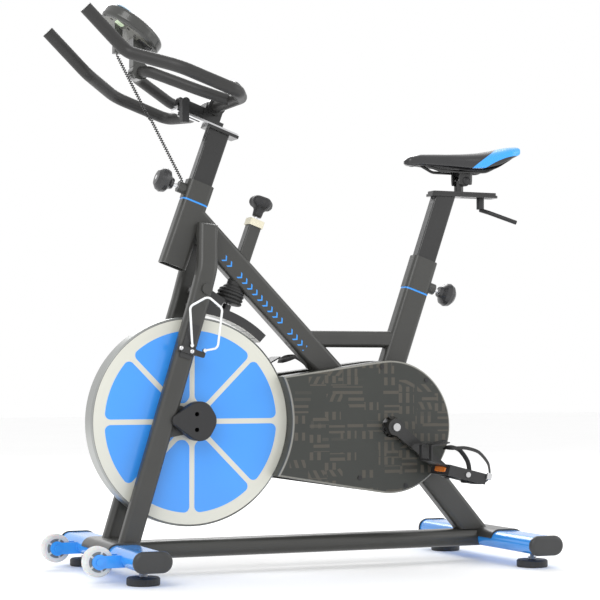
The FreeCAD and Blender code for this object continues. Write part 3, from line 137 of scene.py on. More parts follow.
class Maker:
    """Builds one material's nodes."""

    def __init__(self, name: str) -> None:
        """Start a material of this name with a shader and no other nodes."""
        self.material = bpy.data.materials.new(name)
        self.material.use_nodes = True
        self.tree = self.material.node_tree
        self.tree.nodes.clear()
        self.shader = self.node("ShaderNodeBsdfPrincipled", {}, {})
        output = self.node("ShaderNodeOutputMaterial", {}, {})
        self.tree.links.new(self.shader.outputs[0], output.inputs[0])
        self.coordinates = self.node("ShaderNodeTexCoord", {}, {}).outputs["Object"]

    def node(self, kind: str, settings: dict, values: dict) -> bpy.types.Node:
        """Add a node.

        Args:
            kind: the node's type.
            settings: its properties, set before its sockets.
            values: socket name or number to a value or a link.

        Returns:
            The node.
        """
        node = self.tree.nodes.new(kind)
        for key, value in settings.items():
            setattr(node, key, value)
        self.feed(node, values)
        return node

    def feed(self, node: bpy.types.Node, values: dict) -> None:
        """Set a node's inputs, each to a value or a link."""
        for key, value in values.items():
            if isinstance(value, Val):
                value = value.socket
            if isinstance(value, Socket):
                self.tree.links.new(value, node.inputs[key])
            else:
                node.inputs[key].default_value = value

    def place(self) -> tuple[Val, Val, Val]:
        """X, Y and Z over the surface, in metres."""
        node = self.node("ShaderNodeSeparateXYZ", {}, {0: self.coordinates})
        return tuple(Val(self, socket) for socket in node.outputs)

    def stretched(self, scale: Point) -> Socket:
        """Coordinates stretched by a scale along each axis."""
        node = self.node("ShaderNodeMapping", {}, {"Vector": self.coordinates, "Scale": scale})
        return node.outputs[0]

    def noise(self, scale: float, detail: float = 4.0, roughness: float = 0.55,
              stretch: Point | None = None) -> Val:
        """Cloudy noise from 0 to 1, stretched where asked."""
        vector = self.coordinates if stretch is None else self.stretched(stretch)
        node = self.node("ShaderNodeTexNoise", {},
                         {"Vector": vector, "Scale": scale, "Detail": detail, "Roughness": roughness})
        return Val(self, node.outputs[0])

    def satin(self, level: float) -> Val:
        """Roughness a little above a level, in soft patches."""
        return self.noise(26, 5) * 0.14 + level

    def cells(self, scale: float) -> Val:
        """Distance within random cells."""
        node = self.node("ShaderNodeTexVoronoi", {}, {"Vector": self.coordinates, "Scale": scale})
        return Val(self, node.outputs["Distance"])

    def mix(self, factor: Val, low: Colour | Socket,
            high: Colour | Socket) -> Socket:
        """Blend of two colours by a factor."""
        ends = [(*c, 1.0) if isinstance(c, tuple) else c for c in (low, high)]
        node = self.node("ShaderNodeMix", {"data_type": "RGBA"}, {0: factor, 6: ends[0], 7: ends[1]})
        return node.outputs[2]

    def dress(self, values: dict, height: Val | None = None, strength: float = 0.2,
              depth: float = 0.0005) -> Material:
        """Set the shader's sockets and its bump.

        Args:
            values: socket name to value or link.
            height: bump height from 0 to 1, if any.
            strength: how strongly the bump shows.
            depth: the bump's depth in metres.

        Returns:
            The finished material.
        """
        self.feed(self.shader, values)
        if height is not None:
            bump = self.node("ShaderNodeBump", {},
                             {"Height": height, "Strength": strength, "Distance": depth})
            self.feed(self.shader, {"Normal": bump.outputs[0]})
        return self.material


def tinted(colour: Colour, factor: float, lift: float = 0.0) -> Colour:
    """Colour times a factor plus a lift, held at 1."""
    return tuple(min(c * factor + lift, 1.0) for c in colour)


def distance(a: Val, b: Val) -> Val:
    """Distance of the point (a, b) from the origin."""
    return (a * a + b * b).root()


# ---------------------------------------------------------------- finishes

@dataclass(frozen=True)
class PowderCoat:
    """Baked paint with a fine orange-peel skin and faint mottling."""

    name: str
    colour: Colour
    roughness: float = 0.4
    coat: float = 0.25

    def build(self) -> Material:
        """Make the material: peel is noise, mottling lightens it, dust roughens it."""
        maker = Maker(self.name)
        base = maker.mix(maker.noise(9, 3), tinted(self.colour, 0.82), tinted(self.colour, 1.18, 0.004))
        return maker.dress({"Base Color": base, "Roughness": maker.satin(self.roughness - 0.07),
                            "Coat Weight": self.coat, "Coat Roughness": 0.12},
                           maker.noise(420, 2), 0.12, 0.0003)


@dataclass(frozen=True)
class MarkedPaint:
    """Powder coat on a tube with a ring round it, or chevrons along its left face, in a second colour."""

    name: str
    colour: Colour
    mark: Colour
    origin: Point
    along: Point
    start: float
    stop: float
    chevrons: bool = False

    def build(self) -> Material:
        """Make the material.

        The marks lie where the distance along the tube is in the given span. A chevron is where that
        distance, plus a share of the height off the tube's middle line, is near a multiple of the
        pitch, and longer folds of the distance part the chevrons into groups.
        """
        maker = Maker(self.name)
        x, y, z = maker.place()
        o, a = self.origin, self.along
        run = (x - o[0]) * a[0] + (y - o[1]) * a[1] + (z - o[2]) * a[2]
        mask = run.between(self.start, self.stop)
        if self.chevrons:
            rise = (z - o[2]) * a[0] - (x - o[0]) * a[2]
            pitch, half_line, half_height, left_face = 0.0175, 0.0021, 0.0078, -0.0195
            line = (run + rise.size() * 0.9).fold(pitch).under(half_line)
            groups = (run - 0.012).fold(0.17).over(0.009)
            mask = mask * line * groups * rise.size().under(half_height) * y.under(left_face)
        base = maker.mix(maker.noise(9, 3), tinted(self.colour, 0.82), tinted(self.colour, 1.2))
        return maker.dress({"Base Color": maker.mix(mask, base, self.mark),
                            "Roughness": maker.satin(0.34), "Coat Weight": 0.25},
                           maker.noise(420, 2), 0.12, 0.0003)


@dataclass(frozen=True)
class TurnedMetal:
    """Bare metal with fine drawn or turned lines."""

    name: str
    colour: Colour = (0.62, 0.62, 0.63)
    roughness: float = 0.28
    grain: Point = (1.0, 30.0, 1.0)

    def build(self) -> Material:
        """Make the material: lines are noise stretched along the machining direction."""
        maker = Maker(self.name)
        lines = maker.noise(40, 4, 0.7, self.grain)
        base = maker.mix(lines, tinted(self.colour, 0.75), self.colour)
        return maker.dress({"Base Color": base, "Metallic": 1.0,
                            "Roughness": lines * 0.18 + self.roughness - 0.08}, lines, 0.1, 0.0002)


@dataclass(frozen=True)
class Moulded:
    """Moulded plastic or rubber with a spark-eroded grain and paler handled spots."""

    name: str
    colour: Colour
    roughness: float = 0.5
    grain: float = 900.0
    strength: float = 0.25
    coat: float = 0.0

    def build(self) -> Material:
        """Make the material: the grain is fine cells and noise added together."""
        maker = Maker(self.name)
        worn = maker.noise(14, 5)
        base = maker.mix(worn, tinted(self.colour, 0.7), tinted(self.colour, 1.35, 0.004))
        skin = maker.cells(self.grain) * 0.6 + maker.noise(self.grain / 3, 2) * 0.4
        return maker.dress({"Base Color": base, "Roughness": worn * 0.16 + (self.roughness - 0.08),
                            "Coat Weight": self.coat}, skin, self.strength, 0.00025)


@dataclass(frozen=True)
class FlywheelFace:
    """Machined wheel with a glossy printed face: a pale ring, pale spokes and blue sectors, with a painted
    reflection over the print.
    """

    name: str
    face: float
    cream: Colour = (0.62, 0.62, 0.54)
    blue: Colour = (0.040, 0.29, 0.84)

    def build(self) -> Material:
        """Make the material.

        A sector shows where the radius is between two circles and the distance from the
        nearest spoke line, which is the radius times the sine of the angle to it, is large.
        Its corners are round: the shortfalls of the three distances from the corner's radius
        are added in squares, and the root has to stay under that radius.
        """
        maker = Maker(self.name)
        x, y, z = maker.place()
        across, up = x - HUB[0], z - HUB[2]
        radius = distance(across, up)
        gap = up.angle_from(across).fold(math.pi / 4).wave() * radius
        sector_inner, sector_outer, half_spoke, corner = 0.044, 0.2000, 0.0058, 0.014
        edges = (radius - sector_inner, sector_outer - radius, gap - half_spoke)
        short = [(corner - edge).above(0.0) for edge in edges]
        reach = (short[0] * short[0] + short[1] * short[1] + short[2] * short[2]).root()
        sector = reach.under(corner, 0.0006)
        flat = y.under(self.face + 0.0006) * radius.under(0.2262)
        hub_disc = radius.under(0.040)
        lip = radius.between(0.2255, 0.2266) * y.under(self.face + 0.0012)
        # Slow noise that darkens and lightens the blue sectors and the cream print: a painted reflection of
        # wavy light on the glossy face.
        painted_reflection = maker.noise(3.0, 2)
        blues = maker.mix(painted_reflection, tinted(self.blue, 0.86), tinted(self.blue, 1.2))
        print_colour = maker.mix(sector, maker.mix(painted_reflection, self.cream, (0.64, 0.64, 0.58)), blues)
        print_colour = maker.mix(hub_disc, print_colour, (0.5, 0.51, 0.52))
        print_colour = maker.mix(lip, print_colour, (0.03, 0.03, 0.03))
        lines = maker.noise(30, 4, 0.7, (1.0, 40.0, 1.0))
        steel = maker.mix(lines, (0.26, 0.27, 0.26), (0.46, 0.47, 0.46))
        ring = (radius * 2400).wave() * 0.5 + 0.5
        return maker.dress({"Base Color": maker.mix(flat, steel, print_colour), "Metallic": 1 - flat,
                            "Roughness": flat * -0.14 + lines * 0.1 + 0.3, "Coat Weight": flat * 0.6,
                            "Coat Roughness": 0.05}, ring * (1 - flat) + lines * 0.2, 0.12, 0.0002)


@dataclass(frozen=True)
class PatternedGuard:
    """Dark guard printed with tonal hatched blocks and a satin rim band."""

    name: str
    rim: Colour = (0.24, 0.235, 0.21)

    def build(self) -> Material:
        """Make the material: square-ish blocks, each hatched upright, level or round the crank."""
        maker = Maker(self.name)
        x, y, z = maker.place()
        across, up = x - CRANK_AXIS[0], z - CRANK_AXIS[2]
        blocks = maker.node("ShaderNodeTexVoronoi", {"distance": "CHEBYCHEV"},
                            {"Vector": maker.stretched((1.0, 0.02, 2.2)), "Scale": 22, "Randomness": 0.6})
        colours = maker.node("ShaderNodeSeparateColor", {}, {0: blocks.outputs["Color"]})
        pick = Val(maker, colours.outputs[0])
        upright = (across * 340).wave().over(0.1, 0.5) * pick.under(0.42, 0.02)
        level = (up * 420).wave().over(0.1, 0.5) * pick.over(0.58, 0.02)
        ring = (distance(across, up) * 360).wave().over(0.2, 0.5) * pick.between(0.42, 0.58, 0.02)
        inset = Val(maker, blocks.outputs["Distance"]).under(0.43, 0.03)
        flat_side, edge_low, edge_high = 0.0743, 0.0715, 0.0752
        print_mask = (upright + level + ring).clamped() * inset * y.size().over(flat_side)
        base = maker.mix(maker.noise(8, 3), (0.017, 0.019, 0.016), (0.027, 0.030, 0.025))
        base = maker.mix(print_mask, base, (0.062, 0.055, 0.043))
        edge = y.size().between(edge_low, edge_high)
        base = maker.mix(edge * y.size().under(0.0748), base, self.rim)
        rough = print_mask * 0.16 + maker.noise(30, 4) * 0.1 + 0.34
        return maker.dress({"Base Color": base, "Roughness": rough, "Coat Weight": 0.15},
                           maker.cells(800) * 0.5 + print_mask * 0.5, 0.15, 0.0002)


@dataclass(frozen=True)
class SaddleVinyl:
    """Glossy black vinyl with pebble grain, a blue swoosh to the rear and a pale patch."""

    name: str
    nose: float
    blue: Colour = (0.035, 0.36, 0.93)

    def build(self) -> Material:
        """Make the material: the band follows a parabola up the flank to the rear edge."""
        maker = Maker(self.name)
        x, _, z = maker.place()
        band_start, half_band = 0.176, 0.0122
        back = x - self.nose - band_start
        line = (back + 0.012) * 0.90 - (back + 0.012) * (back + 0.012) * 4.3 + 0.917
        offset = (z - line).size()
        flank = back.over(-0.03, 0.002)
        band = offset.under(half_band, 0.0006) * flank
        thread = (offset - half_band).size().under(0.0016, 0.001) * flank
        patch = z.under(0.9205, 0.001) * back.between(-0.034, 0.02, 0.002)
        grain = maker.cells(520) * 0.7 + maker.noise(180, 3) * 0.3
        base = maker.mix(maker.noise(12, 3), (0.012, 0.012, 0.013), (0.024, 0.024, 0.026))
        base = maker.mix(band, base, self.blue)
        base = maker.mix(patch, base, (0.8, 0.8, 0.8))
        rough = maker.noise(30, 3) * 0.12 + 0.22
        return maker.dress({"Base Color": base, "Roughness": rough, "Coat Weight": 0.35,
                            "Coat Roughness": 0.18}, grain - thread * 1.2, 0.28, 0.0006)


@dataclass(frozen=True)
class MilkyTyre:
    """Cast polyurethane: pale and slightly see-through, with painted shade in the hub's pockets."""

    name: str
    centre: Point

    def build(self) -> Material:
        """Make the material: the hub, its five webs and the rim differ by radius and angle."""
        maker = Maker(self.name)
        x, _, z = maker.place()
        across, up = x - self.centre[0], z - self.centre[2]
        radius = distance(across, up)
        web = (up.angle_from(across).fold(2 * math.pi / 5).wave() * radius).under(0.0022)
        shaded_pocket = radius.between(0.0125, 0.0215) * (1 - web)
        base = maker.mix(maker.noise(30, 3), (0.52, 0.55, 0.55), (0.68, 0.71, 0.70))
        # The recessed pockets between the hub's webs are painted dark: painted shade.
        base = maker.mix(shaded_pocket, base, (0.16, 0.18, 0.19))
        return maker.dress({"Base Color": base, "Roughness": maker.noise(60, 3) * 0.12 + 0.2,
                            "Coat Weight": 0.3, "Subsurface Weight": 0.25},
                           shaded_pocket * -1.0 + maker.noise(300, 2) * 0.1, 0.4, 0.001)


@dataclass(frozen=True)
class FootFinish:
    """Knurled black disc on a plated stem."""

    name: str
    centre: Point

    def build(self) -> Material:
        """Make the material: metal above the disc, a ribbed edge round it."""
        maker = Maker(self.name)
        x, y, z = maker.place()
        across, side = x - self.centre[0], y - self.centre[1]
        radius = distance(across, side)
        stem = radius.under(0.017) * z.over(0.018)
        ribs = (side.angle_from(across) * 60).wave() * 0.5 + 0.5
        thread = (z * 4200).wave() * 0.5 + 0.5
        black = maker.mix(maker.noise(20, 4), (0.010, 0.010, 0.011), (0.032, 0.032, 0.034))
        base = maker.mix(stem, black, (0.6, 0.6, 0.6))
        return maker.dress({"Base Color": base, "Metallic": stem,
                            "Roughness": maker.noise(40, 4) * 0.14 + stem * -0.18 + 0.45},
                           ribs * (1 - stem) * radius.over(0.03) + thread * stem, 0.5, 0.001)


@dataclass(frozen=True)
class PinFinish:
    """Plated pin with a moulded knob on its end."""

    name: str
    origin: Point
    axis: Point

    def build(self) -> Material:
        """Make the material: metal within the pin's radius of its axis, plastic outside."""
        maker = Maker(self.name)
        x, y, z = maker.place()
        o, a = self.origin, self.axis
        across = (x - o[0]) * a[2] - (z - o[2]) * a[0]
        pin_radius = 0.0054
        metal = distance(across, y).under(pin_radius)
        worn = maker.noise(14, 5)
        base = maker.mix(worn, (0.014, 0.014, 0.015), (0.032, 0.032, 0.034))
        base = maker.mix(metal, base, (0.72, 0.72, 0.73))
        return maker.dress({"Base Color": base, "Metallic": metal, "Coat Weight": 0.2,
                            "Roughness": worn * 0.14 + metal * -0.1 + 0.3},
                           maker.cells(700) * (1 - metal), 0.15, 0.0003)


@dataclass(frozen=True)
class CaliperFinish:
    """Black cast arm whose inner edge carries a pale magnet strip."""

    name: str

    def build(self) -> Material:
        """Make the material: the strip lies within a radius of the wheel's axle."""
        maker = Maker(self.name)
        x, _, z = maker.place()
        across, up = x - HUB[0], z - HUB[2]
        strip_radius = 0.2395
        blocks = up.angle_from(across).fold(0.11).over(0.004, 0.002)
        strip = distance(across, up).under(strip_radius) * blocks
        base = maker.mix(maker.noise(12, 4), (0.010, 0.010, 0.011), (0.020, 0.020, 0.021))
        base = maker.mix(strip, base, (0.78, 0.77, 0.72))
        return maker.dress({"Base Color": base, "Roughness": maker.satin(0.3),
                            "Coat Weight": 0.2}, maker.noise(380, 2) + strip * 0.4, 0.15, 0.0004)


@dataclass(frozen=True)
class ConsoleShell:
    """Glossy dark case with a paler inset back."""

    name: str
    centre: Point
    out: Point

    def build(self) -> Material:
        """Make the material: the back is where the height along the case's axis is lowest."""
        maker = Maker(self.name)
        x, y, z = maker.place()
        c, n = self.centre, self.out
        height = (x - c[0]) * n[0] + (z - c[2]) * n[2]
        across = (x - c[0]) * n[2] - (z - c[2]) * n[0]
        oval = (across * across * 205 + y * y * 300).under(0.82, 0.02)
        back = height.between(-0.0165, -0.0140, 0.0006) * oval
        vents = (across * 1500).wave().over(0.3, 0.4)
        vents = vents * across.between(0.006, 0.024) * y.between(0.012, 0.04)
        base = maker.mix(maker.noise(18, 4), (0.030, 0.031, 0.029), (0.055, 0.056, 0.052))
        base = maker.mix(back, base, (0.135, 0.135, 0.118))
        base = maker.mix(vents * back, base, (0.02, 0.02, 0.02))
        rough = maker.noise(40, 4) * 0.1 + back * 0.22 + 0.16
        return maker.dress({"Base Color": base, "Roughness": rough, "Coat Weight": 0.3},
                           maker.cells(1100) * 0.4 - vents * back, 0.2, 0.0004)


@dataclass(frozen=True)
class CageFinish:
    """White dipped wire on a black backing plate with bright screws."""

    name: str
    plate_edge: float

    def build(self) -> Material:
        """Make the material: the plate is what lies nearest to the leg."""
        maker = Maker(self.name)
        _, y, _ = maker.place()
        plate = y.over(self.plate_edge, 0.0003)
        base = maker.mix(maker.noise(20, 3), (0.78, 0.79, 0.79), (0.88, 0.89, 0.89))
        base = maker.mix(plate, base, (0.020, 0.020, 0.021))
        rough = maker.noise(60, 3) * 0.12 + plate * 0.2 + 0.2
        return maker.dress({"Base Color": base, "Roughness": rough, "Coat Weight": 0.3},
                           maker.noise(300, 2), 0.1, 0.0003)


@dataclass(frozen=True)
class RibbedBelt:
    """Rubber belt with fine lengthwise ribs and fabric backing."""

    name: str

    def build(self) -> Material:
        """Make the material: ribs are a wave across the belt's width."""
        maker = Maker(self.name)
        _, y, _ = maker.place()
        ribs = (y * 4000).wave() * 0.5 + 0.5
        base = maker.mix(maker.noise(30, 4), (0.010, 0.010, 0.010), (0.035, 0.035, 0.035))
        return maker.dress({"Base Color": base, "Roughness": maker.noise(80, 3) * 0.15 + 0.55},
                           ribs, 0.5, 0.0008)


@dataclass(frozen=True)
class ScreenGlass:
    """Dark display with faint grey-green segments."""

    name: str
    centre: Point
    along: Point

    def build(self) -> Material:
        """Make the material: rows of bars inside a pale panel, measured along the pod's face."""
        maker = Maker(self.name)
        x, y, z = maker.place()
        c, a = self.centre, self.along
        run = (x - c[0]) * a[0] + (z - c[2]) * a[2]
        panel = run.between(-0.034, 0.030) * y.size().under(0.034)
        row = run.fold(0.0128).under(0.0043) * y.fold(0.0095).under(0.0034)
        digits = row * panel * maker.noise(70, 1).over(0.45, 0.03)
        base = maker.mix(panel, (0.015, 0.017, 0.02), (0.30, 0.34, 0.30))
        base = maker.mix(digits, base, (0.05, 0.06, 0.06))
        return maker.dress({"Base Color": base, "Roughness": maker.noise(40, 2) * 0.06 + 0.08,
                            "Coat Weight": 0.8}, maker.noise(120, 2), 0.02, 0.0002)


# ---------------------------------------------------------------- surfaces

def put(name: str, grid: Array, material: Material, body: str | None,
        wrap: tuple[bool, bool] = (True, False), capped: bool = True,
        smooth: bool = True) -> bpy.types.Object:
    """Make a piece from a grid of points.

    Each square of the grid is a face between neighbours in both directions; a wrapped
    direction joins its last row to its first, and each open end is closed by one face.

    Args:
        name: the piece's name.
        grid: points, rows by columns by 3; columns go round the section.
        material: its finish.
        body: the CAD body it rides on, or None to leave it unattached.
        wrap: whether columns and rows are closed loops.
        capped: whether the first and last rows are closed with a face.
        smooth: whether its faces are shaded smoothly.

    Returns:
        The new object.
    """
    rows, columns = grid.shape[:2]
    index = np.arange(rows * columns).reshape(rows, columns)
    if wrap[0]:
        index = np.concatenate([index, index[:, :1]], axis=1)
    if wrap[1]:
        index = np.concatenate([index, index[:1]], axis=0)
    quads = np.stack([index[:-1, :-1], index[:-1, 1:], index[1:, 1:], index[1:, :-1]], axis=-1)
    faces = quads.reshape(-1, 4).tolist()
    if capped and not wrap[1]:
        faces.append(index[0, :columns][::-1].tolist())
        faces.append(index[-1, :columns].tolist())
    mesh = bpy.data.meshes.new(name)
    mesh.from_pydata(grid.reshape(-1, 3), [], faces)
    mesh.update()
    orient(mesh)
    mesh.polygons.foreach_set("use_smooth", np.full(len(mesh.polygons), smooth))
    mesh.materials.append(material)
    item = bpy.data.objects.new(name, mesh)
    bpy.context.collection.objects.link(item)
    if body is not None:
        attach(item, body)
    LOG.info("%s on %s: %d faces", name, body, len(faces))
    return item


def orient(mesh: bpy.types.Mesh) -> None:
    """Turn a closed mesh's faces outwards: its signed volume, a sum of tetrahedra, is positive."""
    mesh.calc_loop_triangles()
    corners = np.empty(len(mesh.loop_triangles) * 3, dtype=np.int32)
    mesh.loop_triangles.foreach_get("vertices", corners)
    points = np.empty(len(mesh.vertices) * 3, dtype=np.float32)
    mesh.vertices.foreach_get("co", points)
    tri = points.reshape(-1, 3)[corners.reshape(-1, 3)].astype(float)
    tri = tri - points.reshape(-1, 3).mean(axis=0)
    volume = np.einsum("ij,ij->i", tri[:, 0], np.cross(tri[:, 1], tri[:, 2])).sum()
    if volume < 0:
        mesh.flip_normals()


def circle(steps: int) -> Array:
    """Evenly spaced angles round a full turn."""
    return np.linspace(0, 2 * math.pi, steps, endpoint=False)


def eased(values: Array, width: int) -> Array:
    """Values averaged under a raised-cosine window, with the end values held beyond the ends."""
    kernel = np.hanning(width) / np.hanning(width).sum()
    return np.convolve(np.pad(values, width // 2, "edge"), kernel, "valid")


def basis(normal: Point, lead: Point) -> Array:
    """Rows are two directions across a normal, the first nearest to lead, and the normal."""
    third = np.array(normal, float) / np.linalg.norm(normal)
    first = np.array(lead, float) - third * np.dot(lead, third)
    first = first / np.linalg.norm(first)
    return np.stack([first, np.cross(third, first), third])


def turned(profile: Array, origin: Point, axis: Point, steps: int = 96,
           lobes: int = 0, depth: float = 0.0) -> Array:
    """Surface of revolution, with lobes if asked.

    A point is the axis point at its height plus its radius, times one plus depth times
    the cosine of lobes times the angle, in the direction of the angle. What is nearer to
    the axis than the stem's radius has no lobes.

    Args:
        profile: rows of radius and height.
        origin: where height is zero.
        axis: the axis direction.
        steps: points round.
        lobes: number of lobes.
        depth: share by which a lobe stands out.

    Returns:
        Grid of points.
    """
    stem_radius = 0.015
    angle = circle(steps)
    frame = basis(axis, (0.31, 0.95, 0.05))
    swell = depth * np.cos(lobes * angle)[None, :] * (profile[:, :1] > stem_radius)
    radius = profile[:, :1] * (1 + swell)
    local = np.stack([radius * np.cos(angle), radius * np.sin(angle),
                      np.broadcast_to(profile[:, 1:], radius.shape)], axis=-1)
    return local @ frame + np.array(origin)


def rounded_slab(centre: Point, half: Point, axes: Array, power: float = 6.0) -> Array:
    """Pillow-edged slab: a superellipse in plan, whose size shrinks near both faces.

    In plan the boundary is the signed power 2/n of cosine and sine. The height runs as the
    sine of a half turn, and the plan's size is 0.82 plus 0.18 times the root of its cosine.

    Args:
        centre: its middle.
        half: half sizes along the three axes.
        axes: rows are the axes' directions.
        power: squareness of the plan.

    Returns:
        Grid of points.
    """
    around, along = 48, 17
    cos, sin = np.cos(circle(around)), np.sin(circle(around))
    plan = np.stack([np.sign(cos) * np.abs(cos) ** (2 / power) * half[0],
                     np.sign(sin) * np.abs(sin) ** (2 / power) * half[1]], axis=-1)
    turn = np.linspace(-0.5, 0.5, along) * math.pi
    shrink = 0.82 + 0.18 * np.cos(turn) ** 0.5
    height = np.sin(turn) * half[2]
    local = np.concatenate([plan[None] * shrink[:, None, None],
                            np.broadcast_to(height[:, None, None], (along, around, 1))], axis=-1)
    return local @ axes + np.array(centre)


def tube(path: Array, radius: float, sides: int) -> Array:
    """Round tube along a path: circles set square to the path by its cross product with a guide."""
    ahead = np.gradient(path, axis=0)
    ahead /= np.linalg.norm(ahead, axis=1, keepdims=True)
    guide = np.array([0.05, 0.99, 0.1])
    side = np.cross(ahead, guide)
    side /= np.linalg.norm(side, axis=1, keepdims=True)
    up = np.cross(side, ahead)
    angle = circle(sides)
    ring = side[:, None] * np.cos(angle)[None, :, None] + up[:, None] * np.sin(angle)[None, :, None]
    return path[:, None] + ring * radius


def coil(start: Point, end: Point, radius: float, pitch: float) -> Array:
    """Helix about a straight line, whose radius eases to zero over 1.5 turns at both ends."""
    steps = 14
    low, high = np.array(start), np.array(end)
    length = np.linalg.norm(high - low)
    turns = length / pitch
    share = np.linspace(0, 1, int(turns * steps))
    frame = basis(tuple(high - low), (0.0, 1.0, 0.0))
    angle = 2 * math.pi * turns * share
    ease = np.clip(np.minimum(share, 1 - share) * length / (pitch * 1.5), 0, 1) * radius
    local = np.stack([ease * np.cos(angle), ease * np.sin(angle), share * length], axis=-1)
    return local @ frame + low


def dress_nodes(material: Material, *names: str) -> None:
    """Give CAD nodes one finish."""
    for name in names:
        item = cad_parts[name]
        if not item.material_slots:
            item.data.materials.append(material)
        for place in item.material_slots:
            place.material = material


def middle(name: str) -> Point:
    """Middle of a CAD node's box."""
    low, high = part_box(name)
    return tuple((a + b) / 2 for a, b in zip(low, high))


# ---------------------------------------------------------------- the cycle's regions

class Paints:
    """Every shared finish, made once."""

    def __init__(self) -> None:
        """Build the shared materials."""
        self.frame = PowderCoat("charcoal_powder_coat", CHARCOAL, 0.42).build()
        self.sky = PowderCoat("sky_blue_gloss", SKY, 0.24, 0.6).build()
        self.gloss = PowderCoat("black_gloss", BLACK, 0.3, 0.3).build()
        self.steel = TurnedMetal("zinc_steel").build()
        self.plastic = Moulded("black_moulding", (0.013, 0.013, 0.014)).build()
        self.rubber = Moulded("black_rubber", (0.018, 0.018, 0.018), 0.62, 500, 0.35).build()
        self.cream = Moulded("cream_moulding", (0.66, 0.62, 0.48), 0.42).build()
        self.amber = Moulded("amber_reflector", (0.85, 0.20, 0.02), 0.15, 300, 0.5, 0.6).build()


@dataclass
class Frame:
    """Welded frame, stabilisers, feet and transport wheels."""

    paints: Paints
    head_ring: Point = (-0.2531, 0.0, 0.819)
    seat_ring: Point = (0.2959, 0.0, 0.631)
    main_middle: Point = (-0.0481, 0.0, 0.552)
    slope: Point = (0.6995, 0.0, -0.7147)

    def dress(self) -> None:
        """Paint the tubes, rings and marks, and finish the feet and wheels."""
        dress_nodes(self.paints.frame, "left_fork_leg", "right_fork_leg", "top_tube", "rear_leg",
                    "base_rail", "bottom_bracket_shell", "tension_post", "stabiliser_brackets",
                    "fork_pins", "post_collars")
        dress_nodes(self.paints.sky, "front_stabiliser", "rear_stabiliser", "wheel_brackets")
        dress_nodes(self.paints.plastic, "hub_cover", "guard_screws")
        dress_nodes(self.paints.steel, "bearings")
        for node, *marks in (("head_tube", self.head_ring, UP_POST, -0.004, 0.002),
                             ("seat_tube", self.seat_ring, UP_SEAT, -0.004, 0.002),
                             ("main_tube", self.main_middle, self.slope, -0.205, 0.082, True)):
            dress_nodes(MarkedPaint(f"{node}_paint", CHARCOAL, SKY, *marks).build(), node)
        dress_nodes(Moulded("cap_moulding", (0.030, 0.031, 0.032), 0.42).build(), "end_caps")
        self.dress_feet()

    def dress_feet(self) -> None:
        """Finish each levelling foot and each transport wheel about its own centre."""
        for name in ("front_left_foot", "front_right_foot", "rear_left_foot", "rear_right_foot"):
            dress_nodes(FootFinish(f"{name}_finish", middle(name)).build(), name)
        for name in ("left_transport_wheel", "right_transport_wheel"):
            dress_nodes(MilkyTyre(f"{name}_finish", middle(name)).build(), name)


